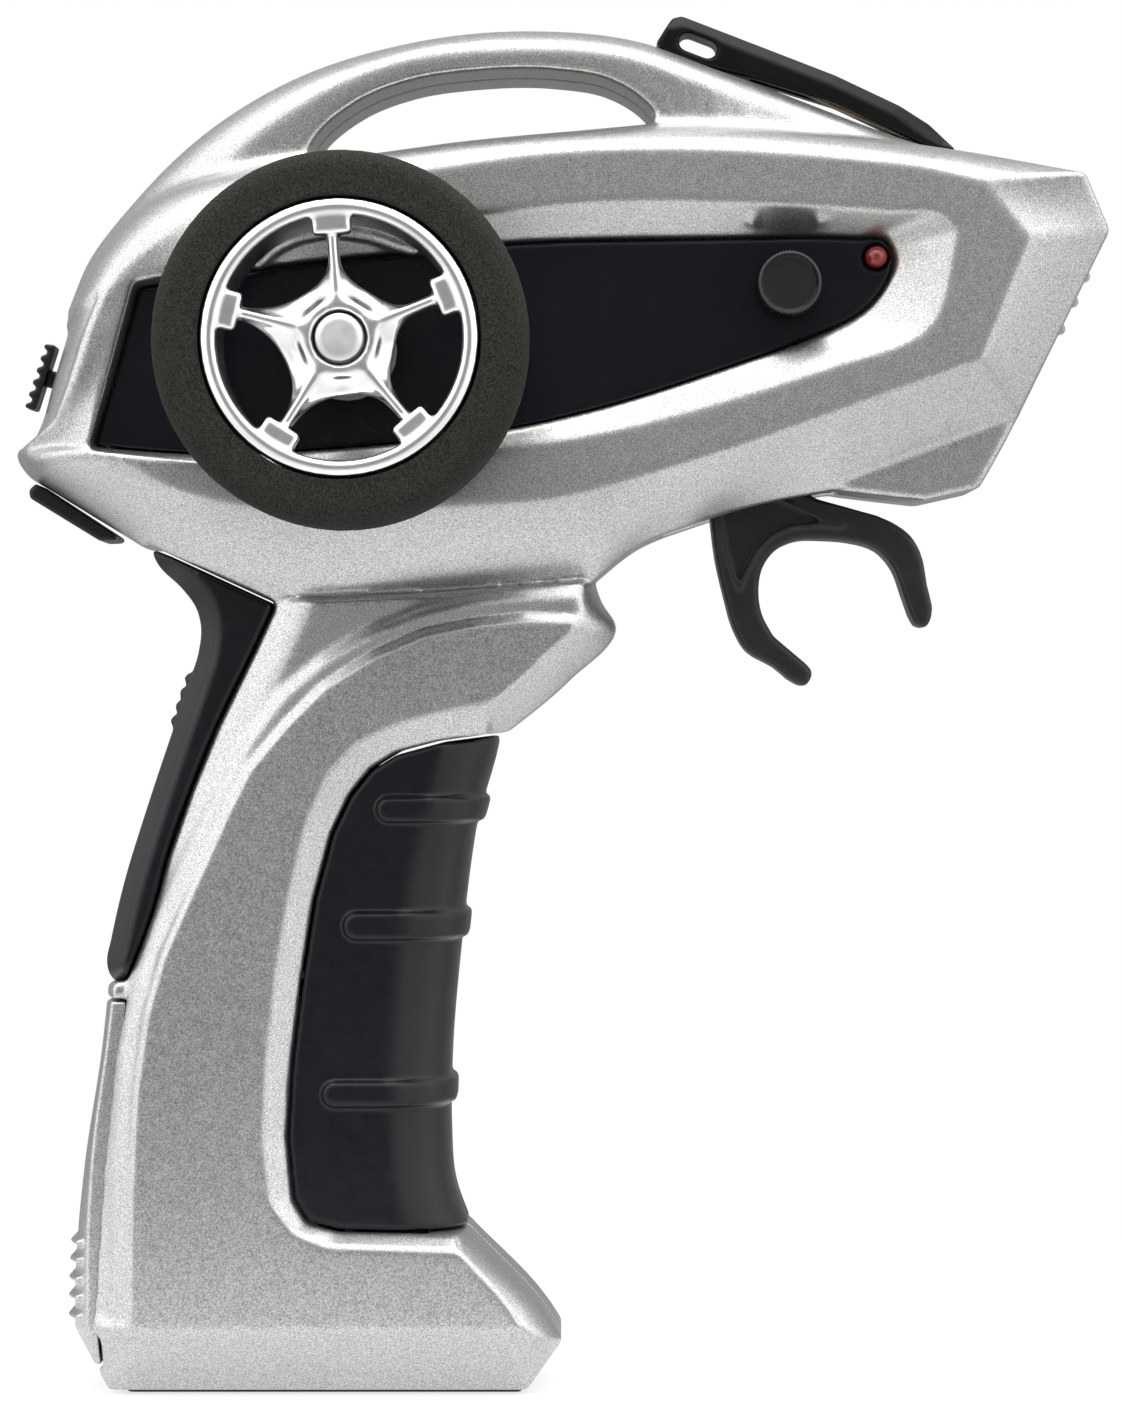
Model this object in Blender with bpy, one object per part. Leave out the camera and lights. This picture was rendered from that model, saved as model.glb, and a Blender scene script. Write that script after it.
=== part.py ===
"""Pistol-grip radio transmitter controller with a steering wheel, modelled as its separate pieces.

The frame is +Z up, +X towards the nose and -Y towards the steering wheel. The casing parts at y = 0.
The origin is the middle of the base pad's underside. Outlines are written in millimetres as (x, z)
or (x, z, depth), where depth is the distance from the parting plane, and meshes are in metres.
"""
import math

import bmesh
import bpy
from mathutils import Matrix, Vector

MM = 0.001
GAP = 0.3  # clearance between touching pieces
PARTING = 0.15  # half of the gap between the casing halves

# Driving dimensions, in millimetres
PLATEAU = 22.0  # half thickness of the head over its flat sides
HOOP_FACE = 12.0  # half thickness of the carrying hoop
GRIP_FACE = 19.5  # half thickness of the grip
WINDOW = 18.0  # depth of the panel window's edge
FLOOR = 16.0  # depth of the panel recess's floor
PANEL = 1.6  # thickness of the panel inlays
WALL_INSIDE = 14.3  # half thickness of the head's hollow
REAR_CROWN = 1.2  # how far the rear face's edges sit ahead of its middle

WHEEL_AXIS = (3.0, 144.0)
TYRE_RADIUS, TYRE_SEAT, TYRE_BACK, TYRE_FACE = 25.2, 18.7, 26.5, 46.0
HUB_RADIUS, SHAFT_RADIUS = 5.2, 2.5
SPOKE_ANGLES = [94, 22, -50, -122, 166]
TRIM_AXIS, TRIM_RADIUS = (63.5, 153.0), 4.6
LED_PLACE, LED_RADIUS = (75.6, 157.0), 1.5
TRIGGER_PIVOT, TRIGGER_HALF = (60.3, 132.8), 4.5
PIN_RADIUS = 1.5
NOSE_LEDS = [(105.6, 156.0), (103.95, 152.5), (102.1, 148.6)]
NOSE_NORMAL = Vector((0.902, 0.0, -0.432))
COVER_HINGE = (-41.3, 125.2)
SCREWS = [(-7.4, 173.4), (82.5, 128.6), (76.5, 166.6), (29.0, 127.4), (24.0, 104.0), (10.5, 13.5)]
SCREW_DEPTHS = [11.2, 11.2, 21.0, 21.0, 18.6, 18.6]  # outer end of each screw's head, on the left side
POST_END = 15.9
CELL_PLACES = [(-19.9, -7.3), (-5.5, -7.3), (-19.9, 7.3), (-5.5, 7.3)]
CELL_RADIUS, CELL_BOTTOM, CELL_TOP = 7.1, 6.8, 56.4

for old in list(bpy.data.objects):
    bpy.data.objects.remove(old, do_unlink=True)

parts = bpy.data.collections.new("radio_transmitter_controller")
cutters = bpy.data.collections.new("cutters")
bpy.context.scene.collection.children.link(parts)
bpy.context.scene.collection.children.link(cutters)


# Materials

def material(name, colour, roughness, metallic=0.0):
    made = bpy.data.materials.new(name)
    made.use_nodes = True
    shader = made.node_tree.nodes["Principled BSDF"]
    shader.inputs["Base Color"].default_value = (*colour, 1.0)
    shader.inputs["Roughness"].default_value = roughness
    shader.inputs["Metallic"].default_value = metallic
    return made


SILVER = material("silver_paint", (0.52, 0.53, 0.52), 0.35, 0.8)
BLACK = material("black_plastic", (0.012, 0.013, 0.016), 0.4)
RUBBER = material("black_rubber", (0.011, 0.012, 0.015), 0.55)
FOAM = material("foam_tyre", (0.03, 0.032, 0.028), 0.95)
CHROME = material("chrome_plate", (0.8, 0.81, 0.8), 0.12, 1.0)
STEEL = material("steel", (0.55, 0.56, 0.57), 0.3, 1.0)
BRASS = material("brass", (0.75, 0.55, 0.25), 0.3, 1.0)
RED_LENS = material("red_lens", (0.35, 0.02, 0.02), 0.15)
CLEAR_LENS = material("clear_lens", (0.85, 0.87, 0.87), 0.08)
BOARD = material("circuit_board", (0.02, 0.16, 0.07), 0.45)
GREY = material("grey_plastic", (0.2, 0.2, 0.21), 0.5)
CELL_WRAP = material("cell_wrap", (0.1, 0.12, 0.16), 0.3)
RED_WIRE = material("red_wire", (0.45, 0.02, 0.02), 0.45)


# Helpers

def finish(name, mesh, paint, origin=(0.0, 0.0, 0.0), collection=None):
    """An object from a mesh in millimetres, with its origin at a point in millimetres."""
    mesh.name = name
    mesh.transform(Matrix.Scale(MM, 4) @ Matrix.Translation(-Vector(origin)))
    made = bpy.data.objects.new(name, mesh)
    made.location = Vector(origin) * MM
    (collection or parts).objects.link(made)
    if paint:
        mesh.materials.clear()
        mesh.materials.append(paint)
    else:
        made.hide_render = True
        made.display_type = "WIRE"
    return made


def from_bmesh(body):
    mesh = bpy.data.meshes.new("shape")
    bmesh.ops.recalc_face_normals(body, faces=body.faces)
    body.to_mesh(mesh)
    body.free()
    return mesh


def side_turn():
    """Turns +Z to -Y and +Y to +Z, so an outline drawn in XY stands in the XZ plane."""
    return Matrix.Rotation(math.radians(90), 4, "X")


def plate_mesh(outline, depth_low, depth_high, bevel=0.0):
    """A flat (x, z) outline given thickness between two depths towards -Y."""
    curve = bpy.data.curves.new("outline", "CURVE")
    curve.dimensions = "2D"
    curve.fill_mode = "BOTH"
    curve.extrude = (depth_high - depth_low) / 2 - bevel
    curve.bevel_depth = bevel
    curve.bevel_resolution = 0
    curve.offset = -bevel
    spline = curve.splines.new("POLY")
    spline.points.add(len(outline) - 1)
    for point, (x, z) in zip(spline.points, outline):
        point.co = (x, z, 0.0, 1.0)
    spline.use_cyclic_u = True
    return curve_mesh(curve, side_turn() @ Matrix.Translation((0, 0, (depth_low + depth_high) / 2)))


def curve_mesh(curve, turn=Matrix.Identity(4)):
    """The welded mesh of a curve, turned into place."""
    holder = bpy.data.objects.new("curve", curve)
    bpy.context.scene.collection.objects.link(holder)
    evaluated = holder.evaluated_get(bpy.context.evaluated_depsgraph_get())
    mesh = bpy.data.meshes.new_from_object(evaluated)
    bpy.data.objects.remove(holder, do_unlink=True)
    body = bmesh.new()
    body.from_mesh(mesh)
    bmesh.ops.remove_doubles(body, verts=body.verts, dist=0.001)
    bmesh.ops.recalc_face_normals(body, faces=body.faces)
    body.to_mesh(mesh)
    body.free()
    mesh.transform(turn)
    return mesh


def plate(name, outline, depth_low, depth_high, paint=None, origin=(0.0, 0.0, 0.0), bevel=0.0):
    mesh = plate_mesh(outline, depth_low, depth_high, bevel)
    return finish(name, mesh, paint, origin, None if paint else cutters)


def box(name, low, high, paint=None, origin=(0.0, 0.0, 0.0)):
    """A box between two corners in millimetres."""
    body = bmesh.new()
    middle = (Vector(low) + Vector(high)) / 2
    size = Vector(high) - Vector(low)
    bmesh.ops.create_cube(body, size=1.0, matrix=Matrix.Translation(middle) @ Matrix.Diagonal((*size, 1.0)))
    return finish(name, from_bmesh(body), paint, origin, None if paint else cutters)


def rod(name, start, end, radius, paint=None, origin=(0.0, 0.0, 0.0), sides=24, end_radius=None):
    """A cylinder or cone between two points in millimetres."""
    start, end = Vector(start), Vector(end)
    along = end - start
    turn = along.to_track_quat("Z", "Y").to_matrix().to_4x4()
    body = bmesh.new()
    bmesh.ops.create_cone(
        body, cap_ends=True, segments=sides, radius1=radius,
        radius2=radius if end_radius is None else end_radius,
        depth=along.length, matrix=Matrix.Translation((start + end) / 2) @ turn,
    )
    return finish(name, from_bmesh(body), paint, origin, None if paint else cutters)


def turned(name, profile, centre, paint=None, steps=32):
    """A profile of (radius, depth) points turned about an axis along Y through (x, z)."""
    body = bmesh.new()
    rings = []
    for radius, depth in profile:
        if radius < 1e-6:
            rings.append([body.verts.new((0, 0, depth))])
            continue
        angles = [2 * math.pi * k / steps for k in range(steps)]
        rings.append([body.verts.new((radius * math.cos(a), radius * math.sin(a), depth)) for a in angles])
    closed = len(rings[0]) > 1
    for lower, upper in zip(rings, rings[1:] + rings[:1] if closed else rings[1:]):
        for k in range(steps):
            after = (k + 1) % steps
            corners = [lower[k % len(lower)], lower[after % len(lower)],
                       upper[after % len(upper)], upper[k % len(upper)]]
            body.faces.new(list(dict.fromkeys(corners)))
    mesh = from_bmesh(body)
    mesh.transform(Matrix.Translation((centre[0], 0, centre[1])) @ side_turn())
    origin = (centre[0], 0.0, centre[1])
    return finish(name, mesh, paint, origin, None if paint else cutters)


def wire(name, points, radius, paint, origin=(0.0, 0.0, 0.0)):
    """A round wire through points in millimetres."""
    curve = bpy.data.curves.new(name, "CURVE")
    curve.dimensions = "3D"
    curve.bevel_depth = radius
    curve.bevel_resolution = 1
    curve.use_fill_caps = True
    spline = curve.splines.new("POLY")
    spline.points.add(len(points) - 1)
    for point, place in zip(spline.points, points):
        point.co = (*place, 1.0)
    return finish(name, curve_mesh(curve), paint, origin)


def coil_points(centre, radius, start, end, turns, per_turn, along):
    """Points of a helix about an axis along Y or Z through centre, from start to end."""
    count = int(turns * per_turn)
    points = []
    for k in range(count + 1):
        angle = 2 * math.pi * k / per_turn
        height = start + (end - start) * k / count
        a, b = radius * math.cos(angle), radius * math.sin(angle)
        if along == "Y":
            points.append((centre[0] + a, height, centre[1] + b))
        else:
            points.append((centre[0] + a, centre[1] + b, height))
    return points


def boolean(target, tool, operation="DIFFERENCE"):
    """Cuts, joins or intersects a target with a tool, which becomes a cutter."""
    step = target.modifiers.new(f"{operation.lower()}_{tool.name}"[:60], "BOOLEAN")
    step.operation = operation
    step.object = tool
    step.solver = "EXACT"
    if tool.name in parts.objects:
        parts.objects.unlink(tool)
        cutters.objects.link(tool)
    tool.hide_render = True
    tool.display_type = "WIRE"
    return target


def tangents(points, corner):
    """Slopes at each point of a closed line, one-sided where corner says that the line turns sharply."""
    slopes = []
    for k, point in enumerate(points):
        before, after = points[k - 1], points[(k + 1) % len(points)]
        span_in, span_out = (point - before).length, (after - point).length
        into, out = (point - before) / span_in, (after - point) / span_out
        if corner[k]:
            slopes.append((into, out))
        else:
            smooth = (into * span_out + out * span_in) / (span_in + span_out)
            slopes.append((smooth, smooth))
    return slopes


def ring(spans, depth, counts, corners):
    """A closed line of points with counts[k] steps along span k, smooth except where corners says."""
    points, corner, starts = [], [], []
    for index, span in enumerate(spans):
        starts.append(len(points))
        for place, (x, z, *own) in enumerate(span):
            points.append(Vector((x, -(own[0] if own else depth), z)))
            corner.append(place == 0 and index in corners)
    slopes = tangents(points, corner)
    sampled = []
    for index, span in enumerate(spans):
        for step in range(counts[index]):
            where = starts[index] + len(span) * step / counts[index]
            k = int(where)
            t = where - k
            a, b = points[k], points[(k + 1) % len(points)]
            reach = (b - a).length
            slope_a, slope_b = slopes[k][1] * reach, slopes[(k + 1) % len(points)][0] * reach
            sampled.append(
                a * (2 * t**3 - 3 * t**2 + 1) + slope_a * (t**3 - 2 * t**2 + t)
                + b * (3 * t**2 - 2 * t**3) + slope_b * (t**3 - t**2)
            )
    return sampled


def spread(values, counts):
    """One value per ring point, blended along each span from its own value to the next span's."""
    result = []
    for index, count in enumerate(counts):
        following = values[(index + 1) % len(values)]
        result += [values[index] + (following - values[index]) * k / count for k in range(count)]
    return result


def between(edge, face, share, roundness):
    """A ring part of the way from an edge ring to a face ring: straight, or round by roundness."""
    swing = share * math.pi / 2
    made = []
    for a, b, bulge in zip(edge, face, roundness):
        straight = a.lerp(b, share)
        arc = Vector((
            b.x + (a.x - b.x) * math.cos(swing),
            a.y + (b.y - a.y) * math.sin(swing),
            b.z + (a.z - b.z) * math.cos(swing),
        ))
        made.append(straight.lerp(arc, bulge))
    return made


def flat(points, depth):
    return [Vector((p.x, -depth, p.z)) for p in points]


def both_sides(rings):
    """Rings from the middle out to one side, continued on the other side as a mirror image."""
    mirrored = [[Vector((p.x, -p.y, p.z)) for p in line] for line in reversed(rings[1:])]
    return mirrored + rings


def loft(name, rings, paint=None):
    """A solid skinned over rings of equal length, closed by a face at each end."""
    body = bmesh.new()
    rows = [[body.verts.new(p) for p in line] for line in rings]
    for low, high in zip(rows, rows[1:]):
        for k in range(len(low)):
            after = (k + 1) % len(low)
            body.faces.new((low[k], low[after], high[after], high[k]))
    body.faces.new(rows[0])
    body.faces.new(rows[-1])
    mesh = from_bmesh(body)
    return finish(name, mesh, paint, (0.0, 0.0, 0.0), None if paint else cutters)


def curve_through(points, steps):
    """A smooth open line through (x, z) points."""
    places = [Vector((x, 0, z)) for x, z in points]
    corner = [k in (0, len(places) - 1) for k in range(len(places))]
    slopes = tangents(places, corner)
    line = []
    for k in range(len(places) - 1):
        a, b = places[k], places[k + 1]
        reach = (b - a).length
        for step in range(steps):
            t = step / steps
            p = (a * (2 * t**3 - 3 * t**2 + 1) + slopes[k][1] * reach * (t**3 - 2 * t**2 + t)
                 + b * (3 * t**2 - 2 * t**3) + slopes[k + 1][0] * reach * (t**3 - t**2))
            line.append((p.x, p.z))
    line.append(points[-1])
    return line


def circle(centre, radius, steps, start=0.0, sweep=360.0):
    """Points round a circle or along an arc, in degrees from +X towards +Z."""
    whole = sweep >= 360.0
    count = steps if whole else steps + 1
    angles = [math.radians(start + sweep * k / steps) for k in range(count)]
    return [(centre[0] + radius * math.cos(a), centre[1] + radius * math.sin(a)) for a in angles]


def shifted(outline, amount):
    """An outline moved outwards by amount along its corner normals."""
    area = sum(a[0] * b[1] - b[0] * a[1] for a, b in zip(outline, outline[1:] + outline[:1]))
    turn = 1 if area > 0 else -1
    moved = []
    for k, (x, z) in enumerate(outline):
        before, after = Vector(outline[k - 1]), Vector(outline[(k + 1) % len(outline)])
        here = Vector((x, z))
        into, out = (here - before).normalized(), (after - here).normalized()
        normal_in, normal_out = Vector((into.y, -into.x)) * turn, Vector((out.y, -out.x)) * turn
        normal = (normal_in + normal_out).normalized()
        reach = amount / max(0.5, normal.dot(normal_out))
        moved.append((x + normal.x * reach, z + normal.y * reach))
    return moved


# Head: a teardrop body with a recessed panel window, from the parting plane out to the recess floor.
# The spans run from the tail over the top to the nose, and back along the underside.

HEAD_COUNTS = [4, 13, 2, 1, 1, 1, 5, 3, 2, 5]
HEAD_EDGE = [
    [(-44.3, 130.6, 7), (-42.2, 133.2, 8), (-39.6, 141.2, 8)],
    [(-36.9, 150.2, 8), (-33.5, 157.5, 8), (-25, 165, 10), (-12, 169.8, 12), (-2, 171.4, 12), (4, 172.0, 12),
     (19, 174.0, 12), (36, 175.4, 12), (54.5, 175.8, 12), (72, 174.4, 12)],
    [(88.2, 172.2, 12)],
    [(104.3, 168.4, 12)],
    [(107.9, 160.8, 12)],
    [(95.8, 135.6, 12)],
    [(70.7, 125.4, 12), (59.9, 123.4, 13), (51.6, 120.9, 14), (43.2, 117.6, 15)],
    [(36.8, 112.6, 17), (15, 111.0, 17)],
    [(-6.3, 109.7, 17), (-12, 110.6, 16.5)],
    [(-23.5, 116.0, 15.5), (-32, 121, 13), (-39.2, 125.4, 10), (-43, 128, 8)],
]
HEAD_PLATEAU = [
    [(-41.3, 131.0, 12.5), (-37.8, 133.2, 17), (-35.3, 137.3, 19.5), (-33.3, 142.3, 20.5)],
    [(-31.6, 149.0, 20.5), (-27, 155.5, 20.8), (-19.5, 160.6, 21.3), (-10.1, 164.3), (3, 166.9),
     (12.8, 168.4), (32.2, 171.0), (51.7, 171.4), (71.3, 170.2)],
    [(82.5, 169.0)],
    [(89.3, 167.4)],
    [(96.4, 159.5)],
    [(90.0, 142.8)],
    [(71.3, 136.1), (56.6, 130.8)],
    [(40, 126.0), (32.2, 124.1), (18, 122.8), (2.8, 122.4)],
    [(-9, 122.7)],
    [(-18, 124.4), (-23.3, 126.3), (-27.4, 128.9), (-33, 130.2, 20.8)],
]
HEAD_BEZEL = [
    [(-32.6, 130.4, 20.6), (-29.3, 142, 20.8)],
    [(-26.2, 153.4, 20.8), (-21.8, 154.5, 21.4), (-17.4, 159.2), (-10, 161.0), (22.1, 162.8),
     (38, 164.3), (56.6, 164.2)],
    [(78.5, 162.9)],
    [(85.2, 162.3)],
    [(86.8, 160.5)],
    [(82.1, 146.3), (80.3, 145.2)],
    [(72.7, 142.6)],
    [(40, 132.9), (24.3, 130.2), (10, 128.6)],
    [(-9, 128.2)],
    [(-18.3, 128.5), (-27, 129.6)],
]
HEAD_WINDOW = [
    [(-32.1, 130.9), (-28.9, 142)],
    [(-25.9, 152.9), (-15, 154.7), (-9.6, 155.5), (12.3, 157.9), (24.5, 159.0), (51.8, 159.7)],
    [(72.9, 159.8)],
    [(76.5, 159.3)],
    [(77.9, 157.2)],
    [(75.4, 149.9), (74, 149)],
    [(66.6, 145.7), (56.9, 142.2)],
    [(36, 135.6), (25.6, 133.3), (15, 131.8)],
    [(-3, 130.2)],
    [(-15, 129.7), (-25, 130.2)],
]
HEAD_ROUNDNESS = [0.9, 0.9, 0.6, 0.0, 0.0, 0.0, 0.15, 0.5, 0.55, 0.7]


def crowned(spans):
    """The edge outline with its rear points moved forward, so the rear face bulges at its middle."""
    return [[(x + REAR_CROWN * (x < -30), z, *own) for x, z, *own in span] for span in spans]


head_window = ring(HEAD_WINDOW, WINDOW, HEAD_COUNTS, {0, 1})


def head_half(name):
    middle = ring(HEAD_EDGE, 0, HEAD_COUNTS, {1, 3, 4, 5, 6, 7})
    edge = ring(crowned(HEAD_EDGE), 0, HEAD_COUNTS, {1, 3, 4, 5, 6, 7})
    plateau = ring(HEAD_PLATEAU, PLATEAU, HEAD_COUNTS, {0, 3, 4, 5})
    bezel = ring(HEAD_BEZEL, PLATEAU, HEAD_COUNTS, {0, 1, 4})
    roundness = spread(HEAD_ROUNDNESS, HEAD_COUNTS)
    rings = [flat(middle, PARTING), edge, between(edge, plateau, 1 / 3, roundness),
             between(edge, plateau, 2 / 3, roundness), plateau, bezel, head_window,
             flat(head_window, FLOOR)]
    return loft(name, rings)


# Carrying hoop: an arch over the head, from the rear face to the top of the nose

HOOP_COUNTS = [18, 6]
HOOP_RIDGE = [
    [(-36.9, 150.6), (-33.9, 158.1), (-27.4, 166.6), (-18.8, 175.0), (-5.9, 183.1), (11.0, 188.4),
     (27.9, 190.1), (44.8, 188.4), (54.4, 185.7), (64.8, 182.0), (74.0, 178.1), (82.2, 174.8)],
    [(92, 170.6), (60, 166), (20, 164), (-15, 158)],
]
HOOP_SIDE = [
    [(-28.5, 151.5), (-25.5, 157.0), (-19.5, 163.4), (-12, 169.6), (-4, 177.6), (7.5, 183.4),
     (25, 186.0), (40, 185.1), (52, 181.2), (64, 176.8), (74, 174.2), (82, 172.4)],
    [(90, 168.6), (60, 164), (20, 162), (-13, 156)],
]
HOLE_TOP = [(-2.7, 172.2), (-2.0, 173.6), (4.0, 179.0), (11.5, 182.0), (20, 183.3), (32.2, 183.4),
            (38.5, 182.3), (43.2, 179.7), (45.3, 177.6)]
HOLE_LOW = [(44.6, 176.1), (32.2, 174.9), (18.8, 173.6), (4.0, 171.6), (-1.6, 171.2)]


def hoop_half(name):
    ridge = ring(HOOP_RIDGE, PARTING, HOOP_COUNTS, {0, 1})
    side = ring(HOOP_SIDE, HOOP_FACE, HOOP_COUNTS, {0, 1})
    roundness = [1.0] * len(ridge)
    return loft(name, [ridge, between(ridge, side, 0.3, roundness), between(ridge, side, 0.65, roundness),
                       side])


# Jaw: the block under the nose

JAW = [(70.7, 125.2), (76.5, 124.5), (82.7, 123.8), (90.3, 125.5), (91.9, 128.2), (94.2, 132.4),
       (95.8, 135.6), (93.0, 139.0), (73.0, 130.0)]
JAW_FACE = 12.0

# Grip: a curved handle with a beak at the top and a flared base

GRIP_COUNTS = [13, 1, 2, 1, 2, 5, 3, 3, 1]
GRIP_EDGE = [
    [(-22, 122, 9), (-20.4, 111.6, 9), (-17.9, 105.5, 9), (-19.2, 99.3, 9), (-21.6, 92.3, 9),
     (-25.2, 81.5, 9), (-28.7, 70.0, 9), (-30.3, 62.9, 9), (-30.6, 57.5, 9), (-31.5, 48.3, 9),
     (-34.0, 31.4, 9), (-35.2, 18.0, 9)],
    [(-35.4, 9.0, 9)],
    [(-30.3, 0.6, 13)],
    [(27.6, 0.6, 13)],
    [(32.6, 7.4, 11), (30.8, 10.2, 11)],
    [(19.5, 22.3, 9), (17.5, 29, 8), (16.9, 36, 8), (17.0, 46, 8), (18.2, 60.9, 8), (20.5, 77.8, 8)],
    [(23.3, 90.5, 12), (25.8, 92.4, 12), (33.6, 99.0, 12)],
    [(39.9, 106.6, 12), (38.0, 109.6, 12), (36.9, 112.9, 12)],
    [(36, 122, 12)],
]
GRIP_SIDE = [
    [(-5, 122), (-7, 108), (-11, 98), (-17.5, 84), (-22.5, 70), (-25.8, 60), (-26.4, 50)],
    [(-26.4, 9.6)],
    [(-24.5, 9.6)],
    [(24.5, 9.6)],
    [(26.7, 9.9)],
    [(17.8, 20.4), (10, 30), (9, 50), (12, 75)],
    [(22, 95.2), (30.1, 102.5)],
    [(33.9, 106.2), (33.9, 110)],
    [(33.5, 122)],
]
GRIP_ROUNDNESS = [0.9, 0.7, 0.0, 0.0, 0.8, 0.8, 0.2, 0.3, 0.5]
INSERT_EDGE = [(23.8, 91.3), (15.7, 90.2), (9.7, 88.6), (6.3, 86.5), (3.4, 82.9), (0.9, 77.7), (-1.5, 68.6),
               (-3.2, 57.8), (-4.6, 46.1), (-5.2, 36.0), (-4.4, 27.4), (-2.5, 24.3), (1.9, 23.2),
               (19.6, 22.8)]
FRAME_EDGE = [(30.2, 97.4), (17.6, 95.2), (10.0, 93.2), (4.1, 90.5), (0.1, 86.4), (-2.9, 79.5), (-5.2, 69.8),
              (-7.0, 59.2), (-8.3, 47.6), (-8.8, 36.0), (-7.8, 27.2), (-4.5, 23.0), (0.0, 21.0),
              (21.6, 20.2)]
INSERT_DEPTH = 17.2
INSERT_FRONT = 45.0  # beyond the front of the grip


def grip_rings():
    middle = ring(GRIP_EDGE, 0, GRIP_COUNTS, {0, 1, 2, 3, 4, 5, 6, 8})
    side = ring(GRIP_SIDE, GRIP_FACE, GRIP_COUNTS, {0, 1, 2, 3, 4, 5, 6, 8})
    roundness = spread(GRIP_ROUNDNESS, GRIP_COUNTS)
    return [flat(middle, 0), middle, between(middle, side, 0.3, roundness),
            between(middle, side, 0.65, roundness), side]


def grip_half(name):
    rings = grip_rings()
    return loft(name, [flat(rings[0], PARTING)] + rings[1:])


def insert_outline(amount=0.0):
    """The rubber insert's outline, closed ahead of the grip and moved outwards by amount."""
    top, low = INSERT_EDGE[0][1], INSERT_EDGE[-1][1]
    return shifted(INSERT_EDGE + [(INSERT_FRONT, low), (INSERT_FRONT, top)], amount)


def frame_cutter(name):
    """The bevelled frame round the insert, which slopes from the grip's face down to the insert."""
    inner = [Vector((x, -(INSERT_DEPTH - 0.3), z)) for x, z in INSERT_EDGE]
    outer = [Vector((x, -GRIP_FACE, z)) for x, z in FRAME_EDGE]
    beyond = [b + (b - a) * 0.8 for a, b in zip(inner, outer)]
    front = [(INSERT_FRONT, INSERT_EDGE[-1][1]), (INSERT_FRONT, INSERT_EDGE[0][1])]
    for line in (inner, beyond):
        line += [Vector((x, line[0].y, z)) for x, z in front]
    return loft(name, [inner, beyond])


# Openings shared by the casing halves

STRAP_BACK = [(-24.9, 117.4), (-23.8, 115.0), (-20.4, 111.6), (-18.5, 109.0), (-17.8, 106.3), (-18.1, 103.0),
              (-19.2, 99.3), (-21.6, 92.3), (-25.2, 81.5), (-28.7, 70.0), (-30.3, 62.9), (-30.9, 59.6),
              (-30.5, 58.0), (-29.5, 56.8)]
STRAP_INNER = [(-27.8, 57.6), (-26.0, 61.9), (-24.1, 67.2), (-22.2, 74.5), (-18.9, 83.9), (-15.3, 92.7),
               (-10.0, 103.6), (-7.4, 109.3)]
STRAP_HALF = 15.5
STRAP_SLOT_DEPTH = 30.0
HEAD_HOLLOW = [(-36.0, 131.5), (-37.6, 134.5), (-33.6, 149.5), (-30.0, 156.0), (-23.5, 162.4),
               (-11.5, 167.0), (19, 171.0), (54.5, 173.2), (72, 171.8), (87.5, 169.8), (102.3, 166.2),
               (105.0, 160.8), (93.6, 137.6), (70.5, 128.2), (59.5, 126.2), (50.5, 123.6), (42, 120),
               (34.0, 114.5), (33.0, 110.0), (-5.0, 110.5), (-9.5, 113.0), (-22.5, 118.6), (-31, 124),
               (-36.0, 128)]
HEAD_HOLLOW_DEPTH = 11.4
SIDE_HOLLOW = [(-30.5, 133.5), (-29.5, 148), (-24, 155), (-9, 161.6), (13, 166), (32, 168.4), (52, 169),
               (80, 167), (88.3, 165.2), (94.5, 159.2), (88.6, 144.3), (71, 138.3), (56, 133), (39.5, 128.2),
               (18, 125.2), (-9, 125), (-18, 126.8), (-27, 131.2)]
GRIP_HOLLOW = [(-26, 6.6), (26.4, 6.6), (27.0, 7.5), (15.5, 19.0), (12.5, 24), (12, 40), (14, 65), (18, 87),
               (27, 98.5), (32, 105.5), (31.5, 116), (-3, 116), (-5, 104), (-13.2, 85), (-20.6, 66),
               (-23.4, 60),
               (-25.8, 57.0)]
GRIP_HOLLOW_DEPTH = 15.2
FOOT_HOLLOW = [(-26, 3.0), (24.0, 3.0), (27.0, 7.2), (-26, 7.2)]
FOOT_HOLLOW_DEPTH = 13.8
REAR_HOLLOW = [(-32.8, 8.0), (-29.0, 3.0), (-20, 3.0), (-20, 57.0), (-27.6, 57.0), (-29.6, 46), (-31.6, 30)]
REAR_HOLLOW_DEPTH = 11.6
DOOR_BACK = [(-33.5, 54.5), (-37.5, 31.4), (-39.5, 4.0)]
DOOR_INNER = [(-31.4, 4.0), (-31.6, 9.0), (-31.4, 18.0), (-30.4, 31.4), (-28.6, 46.0), (-27.7, 54.5)]
DOOR_HALF = 14.6
PAD = [(-28.0, 0.0), (27.0, 0.0), (27.0, 1.5), (-28.0, 1.5)]
PAD_HALF = 12.0
FIN = [(45.6, 188.2), (47.9, 191.9), (49.3, 192.2), (62.0, 187.3), (70.8, 183.9), (79.9, 179.6),
       (84.0, 177.0), (86.2, 174.9), (88.0, 172.9), (83.2, 174.0), (70.9, 179.8), (58.6, 184.6),
       (54.7, 185.9), (47.4, 187.8)]
FIN_HALF = 4.5
SLOT_BOX = ((46.5, 112.0), (71.0, 129.0))
SWITCH_SLOT = [(-44.0, 136.8), (-30.0, 133.8), (-28.0, 144.5), (-41.0, 148.8)]


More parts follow.
